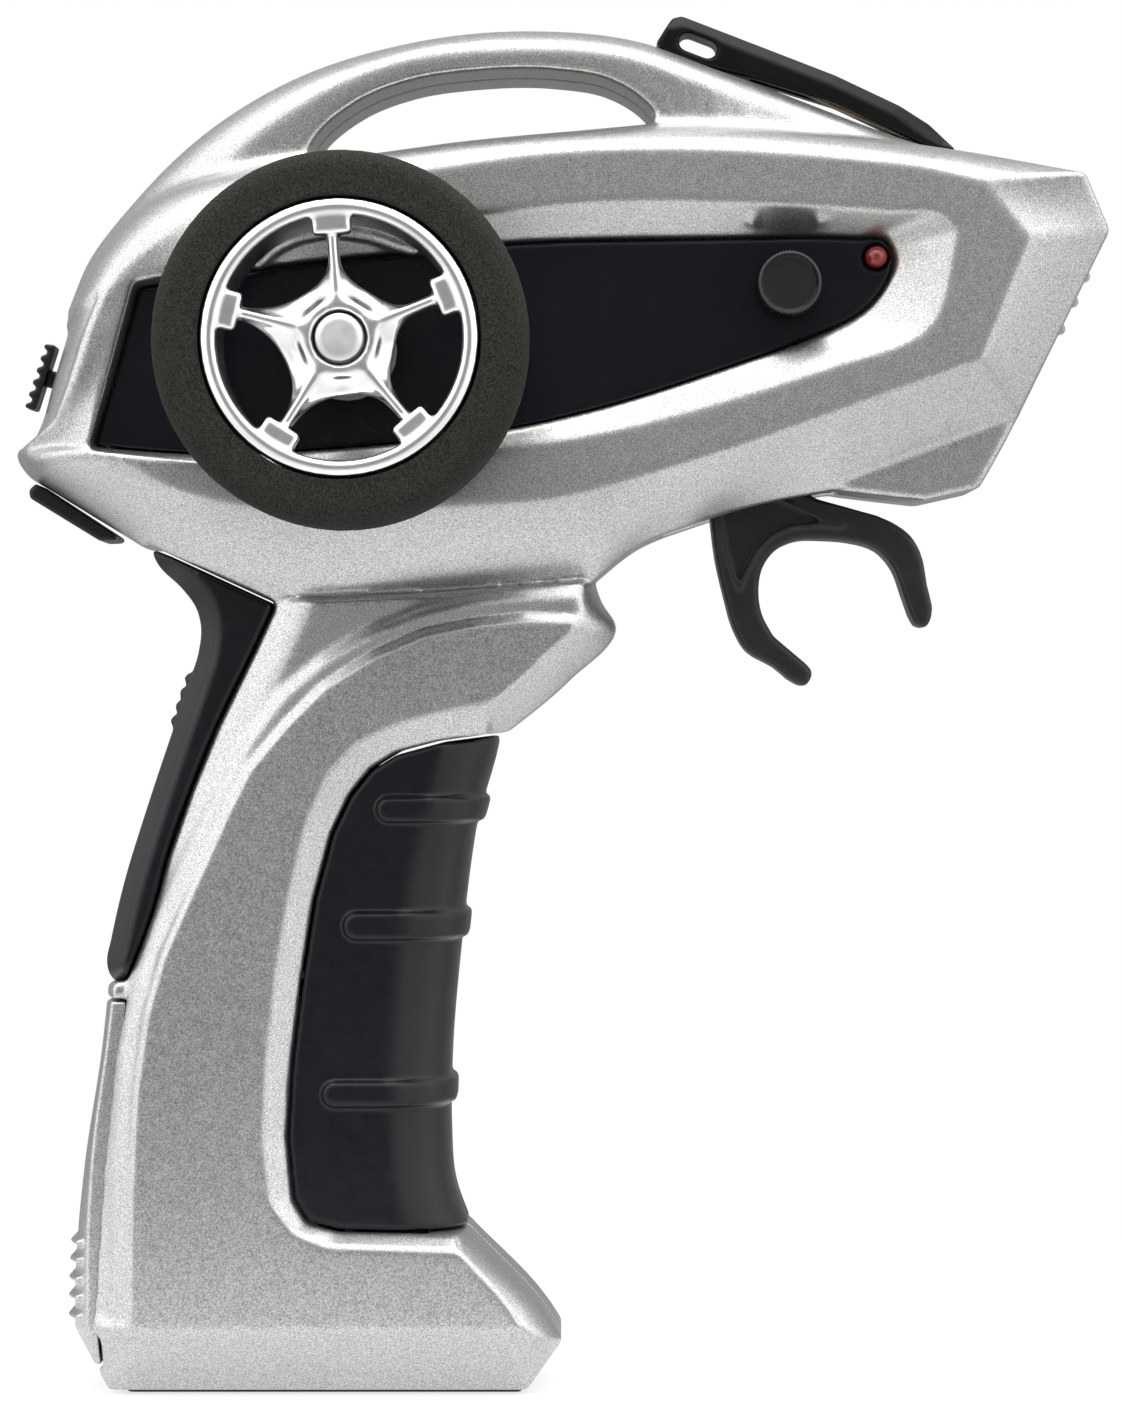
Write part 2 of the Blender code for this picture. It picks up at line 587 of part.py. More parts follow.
def casing_half(name, left):
    """One casing half: head, hoop, jaw and grip joined, hollowed out and opened for its fittings."""
    side = -1 if left else 1
    tag = "left" if left else "right"
    half = grip_half(f"{tag}_grip")
    boolean(half, head_half(f"{tag}_head"), "UNION")
    boolean(half, hoop_half(f"{tag}_hoop"), "UNION")
    boolean(half, plate(f"{tag}_jaw", JAW, PARTING, JAW_FACE), "UNION")
    strap_clearance = STRAP_BACK[:2] + [(x - 1.0, z) for x, z in STRAP_BACK[2:]] + STRAP_INNER
    cuts = [
        plate(f"{tag}_hoop_hole", curve_through(HOLE_TOP, 2) + HOLE_LOW, -5, 30),
        plate(f"{tag}_hollow_head", HEAD_HOLLOW, -1, HEAD_HOLLOW_DEPTH),
        plate(f"{tag}_hollow_side", SIDE_HOLLOW, 0.5, WALL_INSIDE),
        plate(f"{tag}_hollow_grip", GRIP_HOLLOW, -0.5, GRIP_HOLLOW_DEPTH),
        plate(f"{tag}_hollow_foot", FOOT_HOLLOW, -0.7, FOOT_HOLLOW_DEPTH),
        plate(f"{tag}_hollow_rear", REAR_HOLLOW, -0.8, REAR_HOLLOW_DEPTH),
        frame_cutter(f"{tag}_frame"),
        plate(f"{tag}_insert", insert_outline(GAP), -2, INSERT_DEPTH + 0.1),
        plate(f"{tag}_strap", shifted(strap_clearance, GAP), -2, STRAP_SLOT_DEPTH),
        plate(f"{tag}_door", shifted(DOOR_BACK + DOOR_INNER, GAP), -3, DOOR_HALF + GAP),
        plate(f"{tag}_pad", shifted(PAD, GAP), -4, PAD_HALF + GAP),
        plate(f"{tag}_fin", shifted(FIN, GAP), -5, FIN_HALF + GAP),
        box(f"{tag}_trigger_slot", (SLOT_BOX[0][0], -TRIGGER_HALF - 0.8, SLOT_BOX[0][1]),
            (SLOT_BOX[1][0], 6.0, SLOT_BOX[1][1])),
        plate(f"{tag}_switch_slot", SWITCH_SLOT, -3, 1.6),
        rod(f"{tag}_port_hole", (-33.6, 0, 128.4), (-38.2, 0, 121.0), 2.4, sides=12),
        rod(f"{tag}_antenna_notch", (66, 0, 160), (66, 0, 184), 1.5, sides=12),
    ]
    for index, place in enumerate(NOSE_LEDS):
        at = Vector((place[0], 0, place[1]))
        cuts.append(rod(f"{tag}_led_hole_{index}", at - NOSE_NORMAL * 5, at + NOSE_NORMAL * 3, 1.25,
                        sides=12))
    for cutter in cuts:
        boolean(half, cutter)
    x, z = TRIGGER_PIVOT
    boss_inner = 10.9 if left else 9.2
    boss = rod(f"{tag}_pivot_boss", (x, -boss_inner, z), (x, -WALL_INSIDE - 0.8, z), 3.4, sides=16)
    boolean(half, boss, "UNION")
    boolean(half, rod(f"{tag}_pivot_bore", (x, -5, z), (x, -13.1, z), PIN_RADIUS + GAP, sides=16))
    for index, ((x, z), seat) in enumerate(zip(SCREWS, SCREW_DEPTHS)):
        post = rod(f"{tag}_post_{index}", (x, -PARTING, z), (x, -min(seat, POST_END), z), 2.9, sides=16)
        boolean(half, post, "UNION")
        if left:
            boolean(half, rod(f"{tag}_clear_{index}", (x, 1, z), (x, -30, z), 1.6, sides=12))
            boolean(half, rod(f"{tag}_seat_{index}", (x, -seat + 1.9, z), (x, -30, z), 2.6, sides=16))
        else:
            boolean(half, rod(f"{tag}_pilot_{index}", (x, 1, z), (x, -8, z), 1.35, sides=12))
    if left:
        flip = Matrix.Scale(-1, 4, Vector((0, 1, 0)))
        evaluated = half.evaluated_get(bpy.context.evaluated_depsgraph_get())
        mesh = bpy.data.meshes.new_from_object(evaluated)
        mesh.transform(flip)
        mesh.flip_normals()
    else:
        for label, (x, z), radius in (("steering", WHEEL_AXIS, 4.6), ("trim", TRIM_AXIS, 2.2),
                                      ("led", LED_PLACE, LED_RADIUS + GAP)):
            boolean(half, rod(f"{label}_floor_hole", (x, -10, z), (x, -20, z), radius, sides=20))
        mesh = bpy.data.meshes.new_from_object(half.evaluated_get(bpy.context.evaluated_depsgraph_get()))
    mesh.transform(Matrix.Scale(1 / MM, 4))
    half.name = f"{tag}_blank"
    return finish(name, mesh, SILVER)


casing_half("right_shell", left=False)
casing_half("left_shell", left=True)

# Panel inlays

window_outline = [(p.x, p.z) for p in head_window]
panel = plate("control_panel", shifted(window_outline, -GAP), FLOOR + GAP, FLOOR + GAP + PANEL, BLACK)
for label, (x, z), radius in (("steering", WHEEL_AXIS, 4.6), ("trim", TRIM_AXIS, 2.2),
                              ("led", LED_PLACE, LED_RADIUS + GAP)):
    boolean(panel, rod(f"{label}_panel_hole", (x, -10, z), (x, -22, z), radius, sides=20))
plate("left_panel", shifted(window_outline, -GAP), -(FLOOR + GAP + PANEL), -(FLOOR + GAP), BLACK)

# Steering: foam tyre, plated rim, shaft, bush, centring spring and potentiometer

wheel_x, wheel_z = WHEEL_AXIS
wheel_origin = (wheel_x, 0.0, wheel_z)
turned("steering_tyre", [
    (TYRE_SEAT, TYRE_BACK), (TYRE_RADIUS - 3.2, TYRE_BACK), (TYRE_RADIUS - 0.9, TYRE_BACK + 1.4),
    (TYRE_RADIUS, TYRE_BACK + 4.0), (TYRE_RADIUS, TYRE_FACE - 5.0), (TYRE_RADIUS - 1.0, TYRE_FACE - 2.2),
    (TYRE_RADIUS - 3.4, TYRE_FACE - 0.5), (TYRE_SEAT + 0.3, TYRE_FACE - 0.4),
], WHEEL_AXIS, FOAM, 40)
rim = turned("wheel_rim", [
    (16.3, 28.0), (18.35, 28.0), (18.35, 45.2), (18.6, 46.2), (17.8, 46.6), (16.3, 46.3),
], WHEEL_AXIS, CHROME, 40)
spokes = [turned("hub", [(0, 28.5), (HUB_RADIUS, 28.5), (HUB_RADIUS, 45.0), (0, 45.0)], WHEEL_AXIS, None,
                 24)]
SPOKE = [(3.0, -4.6), (8.5, -3.2), (13.5, -1.6), (14.0, -2.4), (17.0, -2.4), (17.0, 2.4), (14.0, 2.4),
         (13.5, 1.6), (8.5, 3.2), (3.0, 4.6)]
for index, angle in enumerate(SPOKE_ANGLES):
    along = Vector((math.cos(math.radians(angle)), 0, math.sin(math.radians(angle))))
    across = Vector((-along.z, 0, along.x))
    points = [along * a + across * b for a, b in SPOKE]
    spokes.append(plate(f"spoke_{index}", [(p.x + wheel_x, p.z + wheel_z) for p in points], 41.5, 44.6))
for spoke in spokes:
    boolean(rim, spoke, "UNION")
boolean(rim, rod("hub_bore", (wheel_x, -20, wheel_z), (wheel_x, -41.0, wheel_z), SHAFT_RADIUS + GAP))
boolean(rim, rod("hub_screw_hole", (wheel_x, -40, wheel_z), (wheel_x, -43.5, wheel_z), 1.3, sides=12))
boolean(rim, rod("hub_cap_seat", (wheel_x, -42.3, wheel_z), (wheel_x, -48, wheel_z), 3.6))
turned("hub_cap", [(0, 44.3), (3.1, 44.3), (3.1, 45.6), (2.7, 46.0), (0, 46.0)], WHEEL_AXIS, GREY, 24)
turned("wheel_screw", [(0, 36.5), (1.0, 36.5), (1.0, 42.6), (2.4, 42.6), (2.4, 43.6), (1.6, 44.0),
                       (0, 44.0)], WHEEL_AXIS, STEEL, 16)
shaft = turned("steering_shaft", [(0, -1.0), (SHAFT_RADIUS, -1.0), (SHAFT_RADIUS, 40.7), (0, 40.7)],
               WHEEL_AXIS, STEEL, 24)
boolean(shaft, rod("shaft_screw_hole", (wheel_x, -36, wheel_z), (wheel_x, -42, wheel_z), 1.3, sides=12))
turned("steering_bush", [
    (SHAFT_RADIUS + GAP, 13.2), (4.2, 13.2), (4.2, 18.2), (6.8, 18.2), (6.8, 19.6),
    (SHAFT_RADIUS + GAP, 19.6),
], WHEEL_AXIS, GREY, 24)
arm = turned("steering_arm", [(SHAFT_RADIUS + GAP, 6.2), (4.4, 6.2), (4.4, 7.8), (SHAFT_RADIUS + GAP, 7.8)],
             WHEEL_AXIS, GREY, 20)
boolean(arm, box("arm_lever", (wheel_x - 1.6, -7.8, wheel_z + 3.6), (wheel_x + 1.6, -6.2, wheel_z + 9.5)),
        "UNION")
wire("steering_return_spring", coil_points(WHEEL_AXIS, 3.9, -12.4, -8.6, 3, 10, "Y"), 0.4, STEEL,
     wheel_origin)
bracket = box("steering_bracket", (wheel_x - 16, -5.4, wheel_z - 9), (wheel_x + 16, -3.9, wheel_z + 9),
              STEEL)
for side in (-1, 1):
    x = wheel_x + side * 15.2
    boolean(bracket, box(f"bracket_leg_{side}", (x - 0.8, -14.0, wheel_z - 6),
                         (x + 0.8, -4.5, wheel_z + 6)), "UNION")
    x = wheel_x + side * 10.5
    boolean(bracket, rod(f"bracket_hole_{side}", (x, 0, wheel_z + 5), (x, -8, wheel_z + 5), 1.3, sides=12))
boolean(bracket, rod("bracket_bore", (wheel_x, 0, wheel_z), (wheel_x, -8, wheel_z), SHAFT_RADIUS + GAP,
                     sides=20))
pot = turned("steering_pot", [(0, -4.6), (8.2, -4.6), (8.2, 3.6), (0, 3.6)], WHEEL_AXIS, GREY, 28)
boolean(pot, rod("pot_bore", (wheel_x, 1.6, wheel_z), (wheel_x, -6, wheel_z), SHAFT_RADIUS + GAP, sides=20))
boolean(pot, box("pot_ears", (wheel_x - 12.5, -3.6, wheel_z + 2.5), (wheel_x + 12.5, -1.8, wheel_z + 7.5)),
        "UNION")
for index, side in enumerate((-1, 1)):
    x = wheel_x + side * 10.5
    boolean(pot, rod(f"ear_hole_{side}", (x, 0, wheel_z + 5), (x, -6, wheel_z + 5), 1.3, sides=12))
    turned(f"bracket_screw_{index + 1}", [(0, 0.2), (1.0, 0.2), (1.0, 5.7), (1.9, 5.7), (1.9, 6.7),
                                          (0, 6.7)], (x, wheel_z + 5), STEEL, 12)

# Steering trim knob and its potentiometer

trim_x, trim_z = TRIM_AXIS
knurls = []
for k in range(30):
    knurls += circle((0, 0), TRIM_RADIUS, 1, 12 * k, 4) + circle((0, 0), TRIM_RADIUS - 0.28, 1, 12 * k + 6,
                                                                 4)
knob = plate("trim_knob", [(trim_x + a, trim_z + b) for a, b in knurls], 18.4, 24.2, BLACK,
             (trim_x, 0.0, trim_z))
boolean(knob, turned("knob_dish", [(0, 23.4), (2.6, 23.7), (3.9, 24.6), (0, 24.6)], TRIM_AXIS, None, 24))
boolean(knob, rod("knob_stem", (trim_x, -19.0, trim_z), (trim_x, -11.5, trim_z), 1.6, sides=16), "UNION")
trim_pot = box("trim_pot", (trim_x - 4.8, -14.0, trim_z - 4.8), (trim_x + 4.8, -9.0, trim_z + 4.8), GREY)
boolean(trim_pot, rod("trim_pot_bore", (trim_x, -10.5, trim_z), (trim_x, -16, trim_z), 1.9, sides=16))
turned("power_led", [(0, 13.6), (1.5, 13.6), (1.5, 18.4), (1.3, 19.1), (0.8, 19.7), (0, 19.9)], LED_PLACE,
       RED_LENS, 20)

# Throttle trigger: a forward-opening C on a cross pin, with its spring and potentiometer

pivot_x, pivot_z = TRIGGER_PIVOT
pivot_origin = (pivot_x, 0.0, pivot_z)
TRIGGER_OUTER = [(53.2, 122.0), (54.0, 115.8), (56.5, 106.1), (58.3, 103.0), (62.1, 100.8), (65.3, 98.4),
                 (67.0, 98.5), (67.5, 100.1), (66.7, 101.2)]
TRIGGER_INNER = [(62.1, 105.1), (60.7, 107.9), (60.3, 113.2), (62.1, 116.7), (65.3, 118.5), (72.7, 118.2),
                 (76.6, 117.1), (78.9, 114.5), (81.3, 107.9)]
TRIGGER_FRONT = [(82.0, 106.6), (83.3, 106.4), (84.2, 107.6), (82.6, 117.1), (81.3, 119.2), (78.5, 121.2),
                 (72.0, 123.3), (66.6, 125.3), (64.8, 130.5)]
trigger_outline = (TRIGGER_OUTER + TRIGGER_INNER + TRIGGER_FRONT
                   + circle(TRIGGER_PIVOT, 4.6, 6, 0, 180))
trigger = plate("trigger", trigger_outline, -TRIGGER_HALF, TRIGGER_HALF, BLACK, pivot_origin, bevel=0.5)
boolean(trigger, rod("trigger_bore", (pivot_x, -9, pivot_z), (pivot_x, 9, pivot_z), PIN_RADIUS + GAP,
                     sides=20))
rod("trigger_pivot_pin", (pivot_x, -12.7, pivot_z), (pivot_x, 12.7, pivot_z), PIN_RADIUS, STEEL, sides=20)
wire("trigger_return_spring", coil_points(TRIGGER_PIVOT, 2.7, -8.4, -5.4, 3, 10, "Y"), 0.35, STEEL,
     pivot_origin)
throttle_pot = turned("throttle_pot", [(0, -10.6), (6.0, -10.6), (6.0, -5.1), (0, -5.1)], TRIGGER_PIVOT,
                      GREY, 24)
boolean(throttle_pot, rod("throttle_bore", (pivot_x, 0, pivot_z), (pivot_x, 14, pivot_z), PIN_RADIUS + GAP))

# Antenna housing on the top ridge, with the antenna in its groove

SLOT_MIDDLE, SLOT_TILT = Vector((51.4, 187.1)), math.radians(-21)
fin = plate("antenna_housing", FIN, -FIN_HALF + 0.3, FIN_HALF - 0.3, BLACK, bevel=0.5)
slot_line = circle((1.5, 0), 1.15, 6, -90, 180) + circle((-1.5, 0), 1.15, 6, 90, 180)
slot_outline = [(SLOT_MIDDLE.x + a * math.cos(SLOT_TILT) - b * math.sin(SLOT_TILT),
                 SLOT_MIDDLE.y + a * math.sin(SLOT_TILT) + b * math.cos(SLOT_TILT)) for a, b in slot_line]
boolean(fin, plate("lanyard_slot", slot_outline, -9, 9))
ANTENNA_LINE = [(60.5, 185.6), (83.0, 175.9), (82.2, 173.2), (58.6, 183.0)]
boolean(fin, plate("antenna_groove", ANTENNA_LINE, -0.9, 0.9))
plate("antenna", [(61.4, 184.6), (81.6, 176.0), (81.1, 175.2), (61.0, 183.8)], -0.5, 0.5, BRASS)

# Nose lamps on their board

nose_along = Vector((NOSE_NORMAL.z, 0, -NOSE_NORMAL.x))
for index, (x, z) in enumerate(NOSE_LEDS):
    at = Vector((x, 0, z))
    lamp = rod(f"nose_led_{index + 1}", at - NOSE_NORMAL * 5.0, at + NOSE_NORMAL * 0.6, 0.9, CLEAR_LENS, at,
               16)
    dome = rod(f"dome_{index}", at + NOSE_NORMAL * 0.5, at + NOSE_NORMAL * 1.3, 0.9, None, sides=16,
               end_radius=0.45)
    boolean(lamp, dome, "UNION")
board_middle = Vector((NOSE_LEDS[1][0], 0, NOSE_LEDS[1][1])) - NOSE_NORMAL * 5.9
rod("nose_led_board", board_middle - NOSE_NORMAL * 0.6, board_middle + NOSE_NORMAL * 0.6, 6.0, BOARD,
                board_middle, 4)

# Power switch on the rear face, sliding up the face

SWITCH_UP = Vector((0.305, 0.0, 0.952))
SWITCH_OUT = Vector((-0.952, 0.0, 0.305))
switch_middle = Vector((-39.6, 0.0, 141.35))
teeth = []
for k in range(6):
    rise = 4.4 - 1.76 * k
    teeth += [(2.0, rise), (2.0, rise - 0.5), (1.3, rise - 0.9), (1.3, rise - 1.25)]
teeth[-2:] = []
knob_outline = [(0.4, 4.6)] + teeth + [(0.4, -4.95)]
places = [switch_middle + SWITCH_OUT * out + SWITCH_UP * up for out, up in knob_outline]
switch_knob = plate("power_switch_knob", [(p.x, p.z) for p in places], -3.2, 3.2, BLACK, switch_middle)
stem_outline = [(0.8, 1.2), (-4.2, 1.2), (-4.2, -1.2), (0.8, -1.2)]
places = [switch_middle + SWITCH_OUT * out + SWITCH_UP * up for out, up in stem_outline]
boolean(switch_knob, plate("switch_stem", [(p.x, p.z) for p in places], -1.2, 1.2), "UNION")
body_outline = [(-4.6, 6.5), (-8.6, 6.5), (-8.6, -4.5), (-4.6, -4.5)]
places = [switch_middle + SWITCH_OUT * out + SWITCH_UP * up for out, up in body_outline]
plate("power_switch_body", [(p.x, p.z) for p in places], -4.0, 4.0, GREY)

# Port cover under the tail, hinged at its upper edge, and the socket behind it

plate("port_cover", [(-41.2, 126.0), (-42.0, 125.2), (-41.8, 124.3), (-32.0, 118.3), (-29.9, 118.5)], -7.5,
      7.5, BLACK, (COVER_HINGE[0], 0.0, COVER_HINGE[1]))

# Back strap and front grip

plate("back_strap", STRAP_BACK + STRAP_INNER, -STRAP_HALF, STRAP_HALF, RUBBER)

GRIP_FRONT = [(19.2, 23.4), (17.4, 29), (16.9, 36), (17.0, 46), (18.2, 60.9), (20.3, 77.8), (22.7, 90.6)]
GRIP_CHEEK = [(8.0, 23.6), (6.5, 36), (7.0, 55), (9.5, 75), (13.0, 89.3)]
INSERT_BACK = [(x + GAP, z - 0.1) for x, z in INSERT_EDGE[2:-1]]
RUBBER_WALL = 2.2
HOLLOW_BACK = [(-20, 100), (-20, 40), (-20, 15)]


def rubber_body(name, front, cheek, back_front, back_cheek, half, paint=None):
    """A body round at the front, from the middle out to its flat cheeks."""
    counts = [12, 12]
    middle = ring([front, back_front], 0, counts, {0, 1})
    shoulder = flat(middle, 4.0)
    side = ring([cheek, back_cheek], half, counts, {0, 1})
    even = [1.0] * len(middle)
    rings = [middle, shoulder, between(shoulder, side, 0.3, even), between(shoulder, side, 0.65, even), side]
    return loft(name, both_sides(rings), paint)


grip = rubber_body("front_grip", GRIP_FRONT, GRIP_CHEEK, [(15.9, 89.9)] + INSERT_BACK,
                   [(11.5, 88.9)] + INSERT_BACK[1:], INSERT_DEPTH - 0.4, RUBBER)
inner_front = [(16.6, 15)] + [(x - RUBBER_WALL, z) for x, z in GRIP_FRONT[1:-1]] + [(22, 100)]
inner_cheek = [(6, 15)] + [(x - RUBBER_WALL, z) for x, z in GRIP_CHEEK[1:-1]] + [(12, 100)]
boolean(grip, rubber_body("front_hollow", inner_front, inner_cheek, HOLLOW_BACK, HOLLOW_BACK, 15.1))

# Battery door up the back of the grip, its holder and four cells

door = loft("battery_door", both_sides(grip_rings()), SILVER)
boolean(door, plate("door_slab", DOOR_BACK + DOOR_INNER, -DOOR_HALF, DOOR_HALF), "INTERSECT")
RIB_HEIGHTS = [21.1, 18.6, 16.0, 13.5, 10.8]
RIB_RADIUS = 0.42
for index, height in enumerate(RIB_HEIGHTS):
    reach = 8.75 - 0.03 * (height - 9.0)
    line = []
    for k in range(-5, 6):
        past_flat = max(0.0, (abs(k) * 2.8 - 9.0) / (GRIP_FACE - 9.0))
        line.append((-26.4 - reach * math.sqrt(1 - past_flat**2), k * 2.8, height))
    boolean(door, wire(f"door_rib_{index}", line, RIB_RADIUS, None), "UNION")

plate("battery_holder", [(-25.6, 3.3), (3.6, 3.3), (3.6, 58.6), (-24.0, 58.6), (-24.0, 57.6), (2.4, 57.6),
                         (2.4, 4.5), (-25.6, 4.5)], -13.5, 13.5, GREY)
for index, (x, y) in enumerate(CELL_PLACES):
    cell = rod(f"cell_{index + 1}", (x, y, CELL_BOTTOM), (x, y, CELL_TOP - 1.2), CELL_RADIUS, CELL_WRAP,
               sides=20)
    boolean(cell, rod(f"nub_{index}", (x, y, CELL_TOP - 2), (x, y, CELL_TOP), 2.6, sides=12), "UNION")
    wire(f"battery_spring_{index + 1}", coil_points((x, y), 2.8, 5.1, 6.3, 2, 8, "Z"), 0.25, STEEL)

# Electronics beside the left side's wall

box("main_board", (-14, 9.2, 136), (48, 10.8, 163), BOARD)
box("radio_module", (14, 6.2, 150), (32, 8.9, 162), STEEL)
box("control_chip", (26, 7.4, 138), (37, 8.9, 146), BLACK)
box("crystal", (-4, 5.8, 158.2), (7, 8.9, 162), STEEL)
rod("capacitor", (40.5, 8.9, 156), (40.5, 2.4, 156), 2.6, BLACK, sides=16)
box("charge_socket", (-34.0, -3.5, 127.2), (-28.5, 3.5, 131.5), BLACK)
for name, paint, side in (("battery_wire_red", RED_WIRE, 1), ("battery_wire_black", BLACK, -1)):
    lead = curve_through([(-4 + side, 59.6), (-4 + side, 72), (2 + side, 90), (8 + side, 108),
                          (12 + side, 122), (13 + side, 134.5)], 3)
    count = len(lead) - 1
    wire(name, [(x, 1.0 + 9.0 * (k / count) ** 2, z) for k, (x, z) in enumerate(lead)], 0.6, paint)
wire("antenna_lead", [(66, 0.0, 178.6), (66, 0.0, 172), (64, 3, 169), (56, 7, 166), (44, 7.6, 160),
                      (33.2, 7.6, 158)], 0.5, BLACK)

# Base pad and casing screws

plate("base_pad", PAD, -PAD_HALF, PAD_HALF, RUBBER)
for index, ((x, z), seat) in enumerate(zip(SCREWS, SCREW_DEPTHS)):
    head = -(seat - 0.2)
    turned(f"casing_screw_{index + 1}", [
        (0, head), (2.2, head), (2.2, head + 1.3), (1.05, head + 1.6), (1.05, 6.0), (0, 7.0),
    ], (x, z), STEEL, 14)
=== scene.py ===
"""Looks of the pistol-grip radio transmitter: moulded shells, rubber, foam, plating and soft studio light.

The moulded pieces are sculpted as distance fields on a fine grid, where pieces blend into each other
with fillets, and are then skinned. Outlines are in millimetres as (x, z) or (x, z, depth), where depth
is the distance from the casing's parting plane towards the steering wheel. Meshes are in metres.
"""
import math

import bmesh
import bpy
import numpy as np
import openvdb
from mathutils import Matrix, Vector


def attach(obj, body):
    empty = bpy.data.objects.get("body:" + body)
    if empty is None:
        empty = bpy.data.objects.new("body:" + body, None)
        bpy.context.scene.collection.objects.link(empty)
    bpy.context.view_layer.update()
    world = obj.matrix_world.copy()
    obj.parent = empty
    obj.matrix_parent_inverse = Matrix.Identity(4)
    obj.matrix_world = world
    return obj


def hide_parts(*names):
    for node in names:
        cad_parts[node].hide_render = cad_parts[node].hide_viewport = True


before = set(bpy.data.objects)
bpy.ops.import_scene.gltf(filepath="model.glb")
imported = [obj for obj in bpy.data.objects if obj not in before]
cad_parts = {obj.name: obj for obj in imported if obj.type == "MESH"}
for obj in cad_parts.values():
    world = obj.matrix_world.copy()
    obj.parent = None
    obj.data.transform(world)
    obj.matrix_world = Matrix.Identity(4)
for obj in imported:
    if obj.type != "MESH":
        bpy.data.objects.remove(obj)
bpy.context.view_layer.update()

MM = 0.001
GAP = 0.3
PARTING = 0.12
PLATEAU, HOOP_FACE, GRIP_FACE, WINDOW, FLOOR = 22.0, 12.0, 19.5, 18.0, 16.0
PANEL_FRONT = 17.9
WHEEL_AXIS, TRIM_AXIS, LED_PLACE, TRIGGER_PIVOT = (3.0, 144.0), (63.5, 153.0), (75.6, 157.0), (60.3, 132.8)
PANEL_HOLES = [(WHEEL_AXIS, 4.6), (TRIM_AXIS, 2.2), (LED_PLACE, 1.8)]
SPOKE_ANGLES = [94, 22, -50, -122, 166]
NOSE_LEDS = [(105.6, 156.0), (103.95, 152.5), (102.1, 148.6)]
NOSE_NORMAL = Vector((0.902, 0.0, -0.432))
SCREWS = [(-7.4, 173.4), (82.5, 128.6), (76.5, 166.6), (29.0, 127.4), (24.0, 104.0), (10.5, 13.5)]
SCREW_DEPTHS = [11.2, 11.2, 21.0, 21.0, 18.6, 18.6]


# Materials

class Paint:
    """A procedural material: a Principled shader with noise on its colour, roughness and height."""

    def __init__(self, name, colour, roughness, metallic=0.0, **sockets):
        self.material = bpy.data.materials.new(name)
        self.material.use_nodes = True
        self.nodes, self.links = self.material.node_tree.nodes, self.material.node_tree.links
        self.shader = self.nodes["Principled BSDF"]
        self.colour, self.roughness = colour, roughness
        self.shader.inputs["Metallic"].default_value = metallic
        for socket, value in sockets.items():
            self.shader.inputs[socket.replace("_", " ")].default_value = value
        self.place = self.nodes.new("ShaderNodeTexCoord").outputs["Object"]
        self.normal = None

    def noise(self, scale, detail=2.0, rough=0.5):
        node = self.nodes.new("ShaderNodeTexNoise")
        node.inputs["Scale"].default_value = scale
        node.inputs["Detail"].default_value = detail
        node.inputs["Roughness"].default_value = rough
        self.links.new(self.place, node.inputs["Vector"])
        return node.outputs["Fac"]

    def cells(self, scale, output="Color"):
        node = self.nodes.new("ShaderNodeTexVoronoi")
        node.inputs["Scale"].default_value = scale
        self.links.new(self.place, node.inputs["Vector"])
        return node.outputs[output]

    def ranged(self, value, low, high, start=0.3, end=0.7):
        node = self.nodes.new("ShaderNodeMapRange")
        for socket, number in zip(("From Min", "From Max", "To Min", "To Max"), (start, end, low, high)):
            node.inputs[socket].default_value = number
        self.links.new(value, node.inputs["Value"])
        return node.outputs["Result"]

    def tint(self, value, low, high, start=0.3, end=0.7):
        """Colours the surface between two shares of its colour, following a value."""
        node = self.nodes.new("ShaderNodeMix")
        node.data_type = "RGBA"
        node.inputs["A"].default_value = (*[min(1.0, c * low) for c in self.colour], 1.0)
        node.inputs["B"].default_value = (*[min(1.0, c * high) for c in self.colour], 1.0)
        self.links.new(self.ranged(value, 0.0, 1.0, start, end), node.inputs["Factor"])
        self.links.new(node.outputs["Result"], self.shader.inputs["Base Color"])
        return self

    def polish(self, value, spread=0.05):
        low, high = self.roughness - spread, self.roughness + spread
        self.links.new(self.ranged(value, low, high), self.shader.inputs["Roughness"])
        return self

    def bump(self, value, height, strength=1.0):
        node = self.nodes.new("ShaderNodeBump")
        node.inputs["Distance"].default_value = height
        node.inputs["Strength"].default_value = strength
        self.links.new(value, node.inputs["Height"])
        if self.normal:
            self.links.new(self.normal, node.inputs["Normal"])
        self.normal = node.outputs["Normal"]
        self.links.new(self.normal, self.shader.inputs["Normal"])
        return self


def silver_paint():
    """Silver lacquer with fine metal flakes."""
    paint = Paint("silver_lacquer", (0.545, 0.552, 0.537), 0.33, 0.94)
    paint.tint(paint.noise(5600.0, 1.0, 0.6), 0.55, 1.42).polish(paint.noise(900.0), 0.03)
    return paint.bump(paint.noise(4200.0, 1.0), 0.00002, 0.4).material


def moulded(name, colour, roughness, grain=2600.0, height=0.00002, **sockets):
    """Satin moulded plastic or rubber with a fine spark-eroded grain."""
    paint = Paint(name, colour, roughness, **sockets)
    paint.tint(paint.noise(70.0, 4.0), 0.82, 1.22).polish(paint.noise(420.0, 3.0), 0.06)
    return paint.bump(paint.noise(grain, 2.0), height, 0.35).material


def gloss_panel():
    """Glossy black inlay with faint polishing marks."""
    paint = Paint("black_panel", (0.0060, 0.0066, 0.0095), 0.24, Specular_IOR_Level=0.22)
    paint.tint(paint.noise(40.0, 5.0), 0.8, 1.25).polish(paint.noise(260.0, 5.0, 0.7), 0.06)
    return paint.bump(paint.noise(2200.0), 0.000008, 0.3).material


